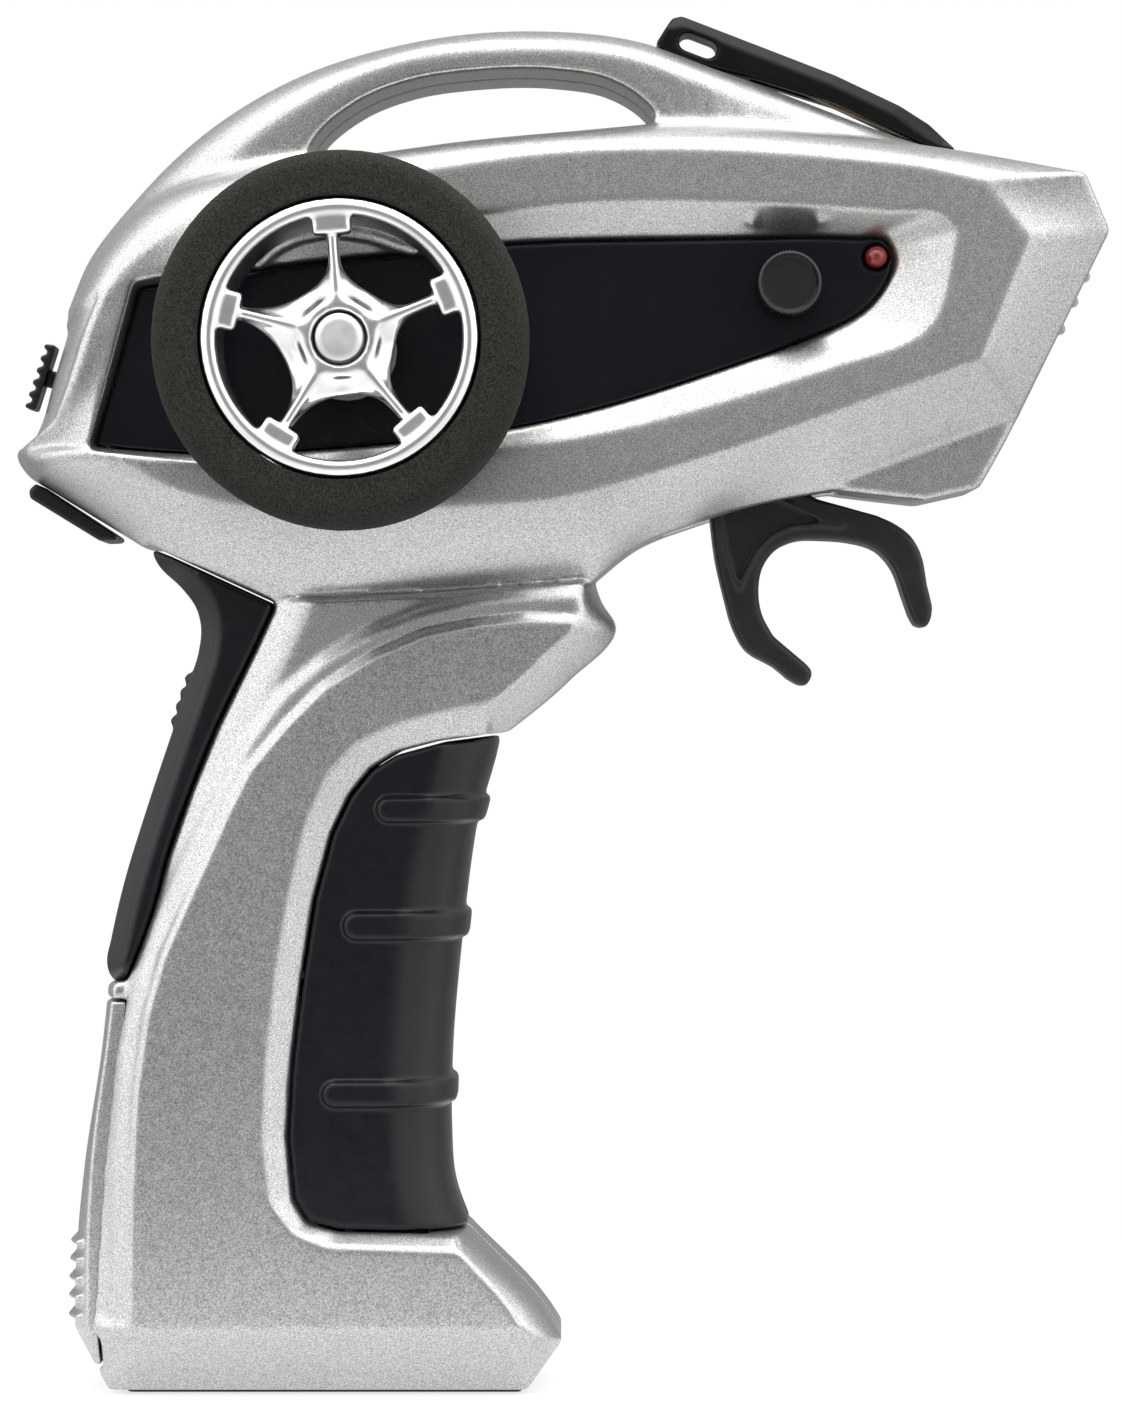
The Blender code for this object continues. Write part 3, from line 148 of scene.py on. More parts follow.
def foam():
    """Open-cell foam rubber with fine pores."""
    paint = Paint("foam_rubber", (0.0235, 0.0245, 0.0205), 0.92, Specular_IOR_Level=0.15)
    paint.tint(paint.noise(4200.0, 2.0, 0.7), 0.45, 1.7, 0.36, 0.64).polish(paint.noise(900.0), 0.06)
    return paint.bump(paint.cells(3200.0, "Distance"), 0.0002, 0.5).bump(
        paint.noise(5200.0, 2.0, 0.7), 0.0001, 0.5).material


def plating():
    """Vacuum plating with the faint waviness of the moulding under it."""
    paint = Paint("chrome_plating", (0.93, 0.94, 0.93), 0.2, 1.0)
    paint.tint(paint.noise(120.0, 3.0), 0.93, 1.05).polish(paint.noise(500.0, 4.0), 0.04)
    return paint.bump(paint.noise(240.0, 2.0), 0.00006, 0.35).material


def metal(name, colour, roughness=0.3, grain=1800.0):
    paint = Paint(name, colour, roughness, 1.0)
    paint.tint(paint.noise(200.0, 3.0), 0.8, 1.12).polish(paint.noise(grain, 3.0), 0.08)
    return paint.bump(paint.noise(grain, 3.0), 0.00002, 0.3).material


def lens(name, colour, transmission, coat=0.6):
    paint = Paint(name, colour, 0.1, Transmission_Weight=transmission, IOR=1.5, Coat_Weight=coat)
    return paint.tint(paint.noise(500.0, 2.0), 0.9, 1.1).polish(paint.noise(900.0), 0.03).material


SILVER = silver_paint()
PANEL_BLACK = gloss_panel()
BLACK = moulded("black_moulding", (0.0095, 0.0097, 0.0098), 0.32, Specular_IOR_Level=0.3)
KNOB = moulded("black_knob", (0.009, 0.0095, 0.0115), 0.24, Specular_IOR_Level=0.6)
TRIGGER_BLACK = moulded("trigger_moulding", (0.017, 0.0174, 0.0172), 0.34, Specular_IOR_Level=0.32)
FIN_BLACK = moulded("fin_moulding", (0.0062, 0.0062, 0.0062), 0.3, Specular_IOR_Level=0.13)
RUBBER = moulded("black_rubber", (0.0050, 0.0055, 0.0078), 0.27, 1800.0, 0.000012, Specular_IOR_Level=0.32)
FOAM = foam()
CHROME = plating()
CAP_GREY = moulded("grey_cap", (0.72, 0.73, 0.71), 0.42, metallic=0.9)
GREY = moulded("grey_moulding", (0.22, 0.22, 0.23), 0.5)
STEEL = metal("zinc_steel", (0.56, 0.57, 0.58))
BRASS = metal("brass", (0.72, 0.52, 0.24))
RED_LENS = lens("red_lens", (0.30, 0.018, 0.016), 0.25)
CLEAR_LENS = lens("clear_lens", (0.92, 0.94, 0.94), 0.85)
BOARD = moulded("solder_mask", (0.012, 0.13, 0.05), 0.35, 900.0, 0.00003)
WRAP = moulded("cell_sleeve", (0.05, 0.07, 0.12), 0.22, 600.0, 0.00001)
RED_WIRE = moulded("red_sleeve", (0.42, 0.015, 0.015), 0.42)


# Curves and rings

def tangents(points, corner):
    """Slopes at each point of a closed line, one-sided where corner says that the line turns sharply."""
    slopes = []
    for k, point in enumerate(points):
        before, after = points[k - 1], points[(k + 1) % len(points)]
        span_in, span_out = (point - before).length, (after - point).length
        into, out = (point - before) / span_in, (after - point) / span_out
        if corner[k]:
            slopes.append((into, out))
        else:
            smooth = (into * span_out + out * span_in) / (span_in + span_out)
            slopes.append((smooth, smooth))
    return slopes


def hermite(a, b, slope_a, slope_b, t):
    return (a * (2 * t**3 - 3 * t**2 + 1) + slope_a * (t**3 - 2 * t**2 + t)
            + b * (3 * t**2 - 2 * t**3) + slope_b * (t**3 - t**2))


def ring(spans, depth, counts, corners):
    """A closed line of points with counts[k] steps along span k, smooth except where corners says."""
    points, corner, starts = [], [], []
    for index, span in enumerate(spans):
        starts.append(len(points))
        for place, (x, z, *own) in enumerate(span):
            points.append(Vector((x, -(own[0] if own else depth), z)))
            corner.append(place == 0 and index in corners)
    slopes = tangents(points, corner)
    sampled = []
    for index, span in enumerate(spans):
        for step in range(counts[index]):
            where = starts[index] + len(span) * step / counts[index]
            k = int(where)
            a, b = points[k], points[(k + 1) % len(points)]
            reach = (b - a).length
            following = slopes[(k + 1) % len(points)][0]
            sampled.append(hermite(a, b, slopes[k][1] * reach, following * reach, where - k))
    return sampled


def curve_through(points, steps):
    """A smooth open line through (x, z) points."""
    places = [Vector((x, 0, z)) for x, z in points]
    slopes = tangents(places, [k in (0, len(places) - 1) for k in range(len(places))])
    line = []
    for k, (a, b) in enumerate(zip(places, places[1:])):
        reach = (b - a).length
        for step in range(steps):
            p = hermite(a, b, slopes[k][1] * reach, slopes[k + 1][0] * reach, step / steps)
            line.append((p.x, p.z))
    return line + [points[-1]]


def spread(values, counts):
    """One value per ring point, blended along each span from its own value to the next span's."""
    result = []
    for index, count in enumerate(counts):
        following = values[(index + 1) % len(values)]
        result += [values[index] + (following - values[index]) * k / count for k in range(count)]
    return result


def between(edge, face, share, roundness):
    """A ring part of the way from an edge ring to a face ring: straight, or round by roundness."""
    swing = share * math.pi / 2
    made = []
    for a, b, bulge in zip(edge, face, roundness):
        straight = a.lerp(b, share)
        arc = Vector((b.x + (a.x - b.x) * math.cos(swing), a.y + (b.y - a.y) * math.sin(swing),
                      b.z + (a.z - b.z) * math.cos(swing)))
        made.append(straight.lerp(arc, bulge))
    return made


def flat(points, depth):
    return [Vector((p.x, -depth, p.z)) for p in points]


def both_sides(rings):
    """Rings from the middle out to one side, continued on the other side as a mirror image."""
    return [[Vector((p.x, -p.y, p.z)) for p in line] for line in reversed(rings[1:])] + rings


def circle(centre, radius, steps, start=0.0, sweep=360.0):
    """Points round a circle or along an arc, in degrees from +X towards +Z."""
    count = steps if sweep >= 360.0 else steps + 1
    angles = [math.radians(start + sweep * k / steps) for k in range(count)]
    return [(centre[0] + radius * math.cos(a), centre[1] + radius * math.sin(a)) for a in angles]


def finer(counts, factor):
    return [count * factor for count in counts]


# Distance fields

class Field:
    """Signed distances in millimetres, negative inside, on a grid between two (x, depth, z) corners."""

    BAND = 10

    def __init__(self, low, high, pitch):
        self.pitch = pitch
        lowest = (low[0], -high[1], low[2])
        highest = (high[0], -low[1], high[2])
        self.start = [math.floor(v / pitch) for v in lowest]
        counts = [math.ceil(v / pitch) - s + 1 for v, s in zip(highest, self.start)]
        axes = [((np.arange(n) + s) * pitch).astype(np.float32) for n, s in zip(counts, self.start)]
        self.x, self.depth, self.z = axes[0][:, None, None], -axes[1][None, :, None], axes[2][None, None, :]
        self.shape = tuple(counts)

    def loft(self, rings):
        """The distance from a solid skinned over rings of equal length."""
        body = bmesh.new()
        rows = [[body.verts.new(p) for p in line] for line in rings]
        for low, high in zip(rows, rows[1:]):
            for k in range(len(low)):
                after = (k + 1) % len(low)
                body.faces.new((low[k], low[after], high[after], high[k]))
        caps = [body.faces.new(rows[0]), body.faces.new(rows[-1])]
        bmesh.ops.triangulate(body, faces=caps)
        bmesh.ops.recalc_face_normals(body, faces=body.faces)
        body.verts.index_update()
        bmesh.ops.triangulate(body, faces=body.faces)
        points = np.array([v.co for v in body.verts], dtype=np.float32)
        corners = np.array([[v.index for v in face.verts] for face in body.faces], dtype=np.uint32)
        body.free()
        grid = openvdb.FloatGrid.createLevelSetFromPolygons(
            points, triangles=corners, transform=openvdb.createLinearTransform(self.pitch),
            halfWidth=self.BAND)
        values = np.zeros(self.shape, dtype=np.float32)
        grid.copyToArray(values, ijk=tuple(self.start))
        return values

    def outline(self, points):
        """The distance from a closed (x, z) outline, the same at every depth."""
        px, pz = self.x[:, 0, :], self.z[0, 0, :][None, :]
        inside = np.zeros((self.shape[0], self.shape[2]), dtype=bool)
        for (ax, az), (bx, bz) in zip(points, points[1:] + points[:1]):
            if az != bz:
                crosses = (az <= pz) != (bz <= pz)
                inside ^= crosses & (px < ax + (pz - az) * (bx - ax) / (bz - az))
        return self.line(points + points[:1]) * np.where(inside, -1, 1).astype(np.float32)[:, None, :]

    def line(self, points):
        """The distance from an open (x, z) line, the same at every depth."""
        px, pz = self.x[:, 0, :], self.z[0, 0, :][None, :]
        nearest = np.full((self.shape[0], self.shape[2]), 1e9, dtype=np.float32)
        for (ax, az), (bx, bz) in zip(points, points[1:]):
            ex, ez = bx - ax, bz - az
            share = np.clip(((px - ax) * ex + (pz - az) * ez) / (ex * ex + ez * ez + 1e-12), 0, 1)
            nearest = np.minimum(nearest, (px - ax - ex * share) ** 2 + (pz - az - ez * share) ** 2)
        return np.sqrt(nearest).astype(np.float32)[:, None, :]

    def slab(self, low, high):
        return np.maximum(low - self.depth, self.depth - high)

    def plate(self, points, low, high, round_by=0.0):
        shape = self.outline(points)
        return smooth_cut(shape, -self.slab(low, high), round_by)

    def axle(self, centre, radius):
        """The distance from an endless round bar along the depth."""
        return np.hypot(self.x - centre[0], self.z - centre[1]) - radius

    def bar(self, start, end, radius):
        """The distance from a round-ended bar between two (x, depth, z) points."""
        (ax, ad, az), (bx, bd, bz) = start, end
        ex, ed, ez = bx - ax, bd - ad, bz - az
        along = (self.x - ax) * ex + (self.depth - ad) * ed + (self.z - az) * ez
        share = np.clip(along / (ex * ex + ed * ed + ez * ez), 0, 1)
        return np.sqrt((self.x - ax - ex * share) ** 2 + (self.depth - ad - ed * share) ** 2
                       + (self.z - az - ez * share) ** 2) - radius

    def skin(self, name, values, paint, body, nodes, slot, mirror=False, soften=1, polish=4):
        """Turns distances into a smooth closed mesh that rides on a body and replaces CAD nodes."""
        values = np.ascontiguousarray(np.broadcast_to(values, self.shape), dtype=np.float32)
        for _ in range(soften):
            values = softened(values)
        limit = self.BAND * self.pitch
        for axis in range(3):
            for end in (0, -1):
                values[tuple(end if k == axis else slice(None) for k in range(3))] = limit
        np.clip(values, -limit, limit, out=values)
        grid = openvdb.FloatGrid(limit)
        grid.transform = openvdb.createLinearTransform(self.pitch)
        grid.gridClass = openvdb.GridClass.LEVEL_SET
        grid.copyFromArray(values, ijk=tuple(self.start))
        points, quads = grid.convertToQuads(0.0)
        points = points * MM
        quads = quads[:, ::-1]
        if mirror:
            points = points * np.array([1, -1, 1])
            quads = quads[:, ::-1]
        mesh = bpy.data.meshes.new(name)
        mesh.from_pydata(points.tolist(), [], quads.tolist())
        mesh.polygons.foreach_set("use_smooth", [True] * len(mesh.polygons))
        made = bpy.data.objects.new(name, mesh)
        bpy.context.scene.collection.objects.link(made)
        if polish:
            step = made.modifiers.new("polish", "SMOOTH")
            step.factor = 0.5
            step.iterations = polish
        return placed(made, paint, body, nodes)


def placed(made, paint, body, nodes):
    made.data.materials.clear()
    made.data.materials.append(paint)
    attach(made, body)
    if nodes:
        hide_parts(*nodes)
    return made


def softened(values):
    """The values averaged with their neighbours along each axis."""
    for axis in range(3):
        ahead = np.roll(values, 1, axis)
        behind = np.roll(values, -1, axis)
        values = values * 0.5 + (ahead + behind) * 0.25
    return values


def smooth_join(a, b, radius):
    """The union of two fields, with a fillet of about the given radius."""
    if radius <= 0:
        return np.minimum(a, b)
    share = np.clip(0.5 + 0.5 * (b - a) / radius, 0, 1)
    return b + (a - b) * share - radius * share * (1 - share)


def smooth_cut(a, b, radius):
    """Field a without field b, with a rounded edge of about the given radius."""
    return -smooth_join(-a, b, radius)


def step_between(values, start, end):
    """0 before start and 1 after end, smooth in between."""
    share = np.clip((values - start) / (end - start), 0, 1)
    return share * share * (3 - 2 * share)


# Head: a teardrop body with a recessed panel window. The spans run from the tail over the top to the
# nose, and back along the underside.

HEAD_COUNTS = finer([4, 13, 2, 1, 1, 1, 5, 3, 2, 5], 5)
HEAD_EDGE = [
    [(-43.1, 130.6, 7), (-41.0, 133.2, 8), (-38.4, 141.2, 8)],
    [(-35.7, 150.2, 8), (-32.3, 157.5, 8), (-25, 165, 10), (-12, 169.8, 12), (-2, 171.4, 12), (4, 172.0, 12),
     (19, 174.0, 12), (36, 175.4, 12), (54.5, 175.8, 12), (72, 174.4, 12)],
    [(88.2, 172.2, 12)],
    [(104.3, 168.4, 20.0)],
    [(107.9, 160.8, 17.0)],
    [(95.8, 135.6, 12)],
    [(70.7, 125.4, 11), (59.9, 123.4, 11), (51.6, 120.9, 12), (43.2, 117.6, 13)],
    [(36.8, 112.6, 14.5), (15, 111.0, 14.5)],
    [(-6.3, 109.7, 14.5), (-12, 110.6, 14)],
    [(-23.5, 116.0, 13), (-30.8, 121, 11), (-38.0, 125.4, 9), (-41.8, 128, 8)],
]
REAR_CROWN = 1.2
HEAD_MIDDLE = [[(x - REAR_CROWN * (x < -30), z, *own) for x, z, *own in span] for span in HEAD_EDGE]
HEAD_PLATEAU = [
    [(-41.3, 131.0, 12.5), (-37.8, 133.2, 17), (-35.3, 137.3, 19.5), (-33.3, 142.3, 20.5)],
    [(-31.6, 149.0, 20.5), (-27, 155.5, 20.8), (-19.5, 160.6, 21.3), (-10.1, 164.3), (3, 166.9),
     (12.8, 168.4), (32.2, 171.0), (51.7, 171.4), (71.3, 170.2)],
    [(82.5, 169.0)],
    [(89.3, 167.4)],
    [(96.4, 159.5)],
    [(90.0, 142.8)],
    [(71.3, 136.1), (56.6, 130.8)],
    [(40, 126.0), (32.2, 124.1), (18, 122.8), (2.8, 122.4)],
    [(-9, 122.7)],
    [(-18, 124.4), (-23.3, 126.3), (-27.4, 128.9), (-33, 130.2, 20.8)],
]
HEAD_BEZEL = [
    [(-32.6, 130.4, 20.6), (-29.3, 142, 20.8)],
    [(-26.2, 153.4, 20.8), (-21.8, 154.5, 21.4), (-17.4, 159.2), (-10, 161.0), (22.1, 162.8),
     (38, 164.3), (56.6, 164.2)],
    [(78.5, 162.9)],
    [(85.2, 162.3)],
    [(86.8, 160.5)],
    [(82.1, 146.3), (80.3, 145.2)],
    [(72.7, 142.6)],
    [(40, 132.9), (24.3, 130.2), (10, 128.6)],
    [(-9, 128.2)],
    [(-18.3, 128.5), (-27, 129.6)],
]
HEAD_WINDOW = [
    [(-32.1, 130.9), (-28.9, 142)],
    [(-25.9, 152.9), (-15, 154.7), (-9.6, 155.5), (12.3, 157.9), (24.5, 159.0), (51.8, 159.7)],
    [(72.9, 159.8)],
    [(76.9, 159.5)],
    [(77.8, 158.3)],
    [(75.0, 150.4), (73.4, 149.1)],
    [(66.6, 145.7, 19.2), (56.9, 142.2, 19.8)],
    [(36, 135.6, 20.2), (25.6, 133.3, 20.2), (15, 131.8, 20.2)],
    [(-3, 130.2, 20.2)],
    [(-15, 129.7, 20.2), (-25, 130.2, 19.6)],
]
HEAD_ROUNDNESS = [0.9, 0.85, 0.6, 0.0, 0.0, 0.0, 0.1, 0.2, 0.22, 0.3]
SHARP_EDGE, SHARP_PLATEAU, SHARP_BEZEL = {1, 3, 4, 5, 6, 7}, {0, 3, 4, 5}, {0, 1, 4}
head_window = ring(HEAD_WINDOW, WINDOW, HEAD_COUNTS, {0, 1})
window_outline = [(p.x, p.z) for p in head_window]


def head_rings():
    middle = flat(ring(HEAD_MIDDLE, 0, HEAD_COUNTS, SHARP_EDGE), 0)
    edge = ring(HEAD_EDGE, 0, HEAD_COUNTS, SHARP_EDGE)
    plateau = ring(HEAD_PLATEAU, PLATEAU, HEAD_COUNTS, SHARP_PLATEAU)
    bezel = ring(HEAD_BEZEL, PLATEAU, HEAD_COUNTS, SHARP_BEZEL)
    roundness = spread(HEAD_ROUNDNESS, HEAD_COUNTS)
    bulge = [between(middle, edge, k / 3, [0.6] * len(edge)) for k in (1, 2)]
    flank = [between(edge, plateau, k / 10, roundness) for k in range(1, 10)]
    return [middle, *bulge, edge, *flank, plateau, bezel, head_window, flat(head_window, FLOOR)]


# Carrying hoop: an arch over the head, from the rear face to the top of the nose

HOOP_COUNTS = [110, 36]
HOOP_RIDGE = [
    [(-36.9, 150.6), (-33.9, 158.1), (-27.4, 166.6), (-18.8, 175.0), (-5.9, 183.1), (11.0, 188.4),
     (27.9, 190.1), (44.8, 188.2), (51.0, 186.0), (64.8, 180.9), (74.0, 177.3), (82.2, 174.3)],
    [(92, 170.6), (60, 166), (20, 164), (-15, 158)],
]
HOOP_SIDE = [
    [(-16.5, 158.5), (-15.6, 162.0), (-14.3, 166.3), (-12.3, 170.6), (-5.2, 177.0), (6.0, 183.2),
     (25, 186.0), (40, 185.1), (52, 181.2, 11.5), (64, 176.8, 9.5), (74, 174.2, 9.0), (82, 172.4, 8.0)],
    [(90, 168.6), (60, 164), (20, 162), (-13, 156)],
]
HOLE_TOP = [(-2.7, 172.2), (-2.0, 173.6), (4.0, 179.0), (11.5, 182.0), (20, 183.3), (32.2, 183.4),
            (38.5, 182.3), (43.2, 179.7), (45.3, 177.6)]
HOLE_LOW = [(44.6, 176.1), (32.2, 174.9), (18.8, 173.6), (4.0, 171.6), (-1.6, 171.2)]


def hoop_rings():
    ridge = ring(HOOP_RIDGE, 0, HOOP_COUNTS, {0, 1})
    side = ring(HOOP_SIDE, HOOP_FACE, HOOP_COUNTS, {0, 1})
    full = [1.0] * len(ridge)
    return [ridge, *[between(ridge, side, k / 9, full) for k in range(1, 9)], side]


JAW = [(70.7, 125.2), (76.5, 124.5), (82.7, 123.8), (90.3, 125.5), (91.9, 128.2), (94.2, 132.4),
       (95.8, 135.6), (93.0, 139.0), (73.0, 130.0)]
JAW_FACE = 12.0

# Grip: a curved handle with a beak at the top and a flared base

GRIP_COUNTS = [117, 9, 10, 45, 12, 45, 27, 27, 9]
GRIP_EDGE = [
    [(-22, 122, 9), (-20.4, 111.6, 9), (-17.9, 105.5, 9), (-19.2, 99.3, 9), (-21.6, 92.3, 9),
     (-25.2, 81.5, 9), (-28.7, 70.0, 9), (-30.3, 62.9, 9), (-30.6, 57.5, 9), (-31.5, 48.3, 9),
     (-34.0, 31.4, 9), (-35.2, 18.0, 9)],
    [(-35.4, 9.0, 9)],
    [(-30.3, 0.6, 13)],
    [(27.6, 0.6, 13)],
    [(32.6, 7.4, 11), (30.8, 10.2, 11)],
    [(19.5, 22.3, 9), (17.5, 29, 8), (16.9, 36, 8), (17.0, 46, 8), (18.2, 60.9, 8), (20.5, 77.8, 8)],
    [(23.3, 90.5, 12), (25.8, 92.4, 12), (33.6, 99.0, 12)],
    [(39.9, 106.6, 12), (38.0, 109.6, 12), (36.9, 112.9, 12)],
    [(36, 122, 12)],
]
GRIP_SIDE = [
    [(-5, 122), (-7, 108), (-11, 98), (-17.5, 84), (-22.5, 70), (-25.8, 60), (-26.4, 50)],
    [(-26.4, 9.6)],
    [(-24.5, 9.6)],
    [(24.5, 9.6)],
    [(26.7, 9.9)],
    [(17.8, 20.4), (10, 30), (9, 50), (12, 75)],
    [(22, 95.2), (30.1, 102.5)],
    [(33.9, 106.2), (33.9, 110)],
    [(33.5, 122)],
]
GRIP_ROUNDNESS = [0.9, 0.7, 0.0, 0.0, 0.8, 0.8, 0.2, 0.3, 0.5]
GRIP_CORNERS = {0, 1, 2, 3, 4, 5, 6, 8}
INSERT_EDGE = [(23.8, 91.3), (15.7, 90.2), (9.7, 88.6), (6.3, 86.5), (3.4, 82.9), (0.9, 77.7), (-1.5, 68.6),
               (-3.2, 57.8), (-4.6, 46.1), (-5.2, 36.0), (-4.4, 27.4), (-2.5, 24.3), (1.9, 23.2),
               (19.6, 22.8)]
FRAME_EDGE = [(30.2, 97.4), (17.6, 95.2), (10.0, 93.2), (4.1, 90.5), (0.1, 86.4), (-2.9, 79.5), (-5.2, 69.8),
              (-7.0, 59.2), (-8.3, 47.6), (-8.8, 36.0), (-7.8, 27.2), (-4.5, 23.0), (0.0, 21.0),
              (21.6, 20.2)]
INSERT_DEPTH, INSERT_FRONT = 17.2, 45.0
INSERT_OUTLINE = INSERT_EDGE + [(INSERT_FRONT, 22.8), (INSERT_FRONT, 91.3)]


def grip_rings():
    middle = ring(GRIP_EDGE, 0, GRIP_COUNTS, GRIP_CORNERS)
    side = ring(GRIP_SIDE, GRIP_FACE, GRIP_COUNTS, GRIP_CORNERS)
    roundness = spread(GRIP_ROUNDNESS, GRIP_COUNTS)
    return [flat(middle, 0), middle, *[between(middle, side, k / 9, roundness) for k in range(1, 9)], side]


STRAP_BACK = [(-24.9, 117.4), (-23.8, 115.0), (-20.4, 111.6), (-18.5, 109.0), (-17.8, 106.3), (-18.1, 103.0),
              (-19.2, 99.3), (-21.6, 92.3), (-25.2, 81.5), (-28.7, 70.0), (-30.3, 62.9), (-30.9, 59.6),
              (-30.5, 58.0), (-29.5, 56.8)]
STRAP_INNER = [(-27.8, 57.6), (-26.0, 61.9), (-24.1, 67.2), (-22.2, 74.5), (-18.9, 83.9), (-15.3, 92.7),
               (-10.0, 103.6), (-7.4, 109.3)]
STRAP_HALF, STRAP_SLOT_DEPTH = 15.5, 30
GRIP_HOLLOW = [(-26, 6.6), (26.4, 6.6), (27.0, 7.5), (15.5, 19.0), (12.5, 24), (12, 40), (14, 65), (18, 87),
               (26.5, 98.5), (29, 103.5), (-5, 103.5), (-13.2, 85), (-20.6, 66), (-23.4, 60),
               (-25.8, 57.0)]
NECK_HOLLOW = [(-5, 100.0), (27, 100.0), (31.0, 113.0), (-4, 113.0)]
FOOT_HOLLOW = [(-26, 3.0), (24.0, 3.0), (27.0, 7.2), (-26, 7.2)]
REAR_HOLLOW = [(-32.8, 8.0), (-29.0, 3.0), (-20, 3.0), (-20, 57.0), (-27.6, 57.0), (-29.6, 46), (-31.6, 30)]
HEAD_HOLLOW = [(-36.0, 131.5), (-37.6, 134.5), (-33.6, 149.5), (-30.0, 156.0), (-23.5, 162.4),
               (-11.5, 167.0), (19, 171.0), (54.5, 173.2), (72, 171.8), (87.5, 169.8), (102.3, 166.2),
               (105.0, 160.8), (93.6, 137.6), (70.5, 128.2), (59.5, 126.2), (50.5, 123.6), (42, 120),
               (34.0, 114.5), (33.0, 110.0), (-5.0, 110.5), (-9.5, 113.0), (-22.5, 118.6), (-31, 124),
               (-36.0, 128)]
SIDE_HOLLOW = [(-30.5, 133.5), (-29.5, 148), (-24, 155), (-9, 161.6), (13, 166), (32, 168.4), (52, 169),
               (80, 167), (88.3, 165.2), (94.5, 159.2), (88.6, 144.3), (71, 138.3), (56, 133), (39.5, 128.2),
               (18, 125.2), (-9, 125), (-18, 126.8), (-27, 131.2)]
DOOR_BACK = [(-33.5, 54.5), (-37.5, 31.4), (-39.5, 4.0)]
DOOR_INNER = [(-31.4, 4.0), (-31.6, 9.0), (-31.4, 18.0), (-30.4, 31.4), (-28.6, 46.0), (-27.7, 54.5)]
DOOR_HALF = 14.6
PAD = [(-28.0, 0.0), (27.0, 0.0), (27.0, 1.5), (-28.0, 1.5)]
PAD_HALF = 12.0
FIN = [(45.6, 188.2), (47.9, 191.9), (49.3, 192.2), (62.0, 187.3), (70.8, 183.9), (79.9, 179.6),
       (84.0, 177.0), (86.2, 174.9), (88.0, 172.9), (83.2, 174.0), (70.9, 179.8), (58.6, 183.6),
       (54.2, 184.6), (47.4, 186.6)]
FIN_HALF = 4.5
SLOT_BOX = [(46.5, 112.0), (71.0, 112.0), (71.0, 129.0), (46.5, 129.0)]
SWITCH_SLOT = [(-44.0, 136.8), (-30.0, 133.8), (-28.0, 144.5), (-41.0, 148.8)]

# The grip's side steps up twice along curves that sweep from the beak down the column
SWOOSH_HIGH = [(40, 110.4), (33.9, 110.0), (27.2, 109.8), (20.4, 109.2), (13.5, 107.6), (6.7, 104.9),
               (-0.1, 100.8), (-5.3, 96.3), (-10.2, 90.0), (-14.2, 83.1), (-18.2, 75.4), (-22.6, 66.0),
               (-25.6, 57.0), (-27.6, 48.0), (-28.6, 30.0), (-28.8, 9.6)]
SWOOSH_LOW = [(42, 106.6), (33.9, 106.8), (27.2, 107.0), (20.4, 106.3), (13.5, 104.9), (6.7, 101.9),
              (-0.1, 97.6), (-5.3, 92.4), (-10.3, 86.4), (-13.1, 80.9), (-16.4, 73.6), (-19.3, 67.6),
              (-22.3, 60.9), (-24.6, 52.5), (-26.0, 42.0), (-26.6, 28.0), (-26.8, 9.6)]
ABOVE_GRIP = [(-45, 114.0), (-12, 110.7), (-6.3, 109.9), (15, 110.9), (36.8, 112.7), (45, 113.3), (45, 130),
              (-45, 130)]
SWOOSH_REST = [(-60, 9.6), (-60, 130), (45, 130)]
COLUMN_BACK = [(-33.5, 9.0), (-32.0, 31.4), (-30.2, 46.0)] + STRAP_INNER
COLUMN_DEPTH, RAMP_DEPTH = 17.3, 18.4
COLUMN_FALL, COLUMN_FALL_WIDTH = 2.7, 5.8


def shell_field():
    """One casing half, from a little beyond the parting plane outwards, before its own side's details."""
    field = Field((-46.4, -2.0, -1.6), (109.6, 24.0, 192.8), 0.42)
    head = field.loft(both_sides(head_rings()))
    hoop = field.loft(both_sides(hoop_rings()))
    hole = field.outline(curve_through(HOLE_TOP, 6) + HOLE_LOW)
    body = smooth_join(head, hoop, 1.6)
    body = smooth_join(body, field.plate(JAW, -5, JAW_FACE, 0.8), 0.5)
    body = smooth_cut(body, hole, 1.2)
    grip = field.loft(both_sides(grip_rings()))
    high = field.outline(SWOOSH_HIGH + SWOOSH_REST)
    low = field.outline(SWOOSH_LOW + SWOOSH_REST)
    relief = GRIP_FACE - (GRIP_FACE - RAMP_DEPTH) * step_between(-low, -0.2, 1.2)
    relief = relief - (RAMP_DEPTH - COLUMN_DEPTH) * step_between(-high, -0.2, 2.2)
    fall = 1 - np.clip(field.line(COLUMN_BACK) / COLUMN_FALL_WIDTH, 0, 1)
    relief = relief - COLUMN_FALL * fall**1.5 * step_between(-low, -0.6, 1.4)
    grip = smooth_cut(grip, relief - field.depth, 0.5)
    grip = smooth_cut(grip, np.maximum(field.outline(ABOVE_GRIP), 8.0 - field.depth), 0.7)
    body = smooth_join(body, grip, 0.7)
    return field, body


def frame_slope(field):
    """The bevelled frame round the grip's rubber insert, cut out from the grip's face down to the insert."""
    inner = field.outline(INSERT_OUTLINE)
    outer = field.outline(FRAME_EDGE + [(INSERT_FRONT, 20.2), (INSERT_FRONT, 97.4)])
    share = np.clip(inner / np.maximum(inner - outer, 0.05), 0, 2.5)
    floor = INSERT_DEPTH - 0.3 + (GRIP_FACE - INSERT_DEPTH + 0.3) * share
    return np.maximum((floor - field.depth) * 0.8, outer - 1.5)


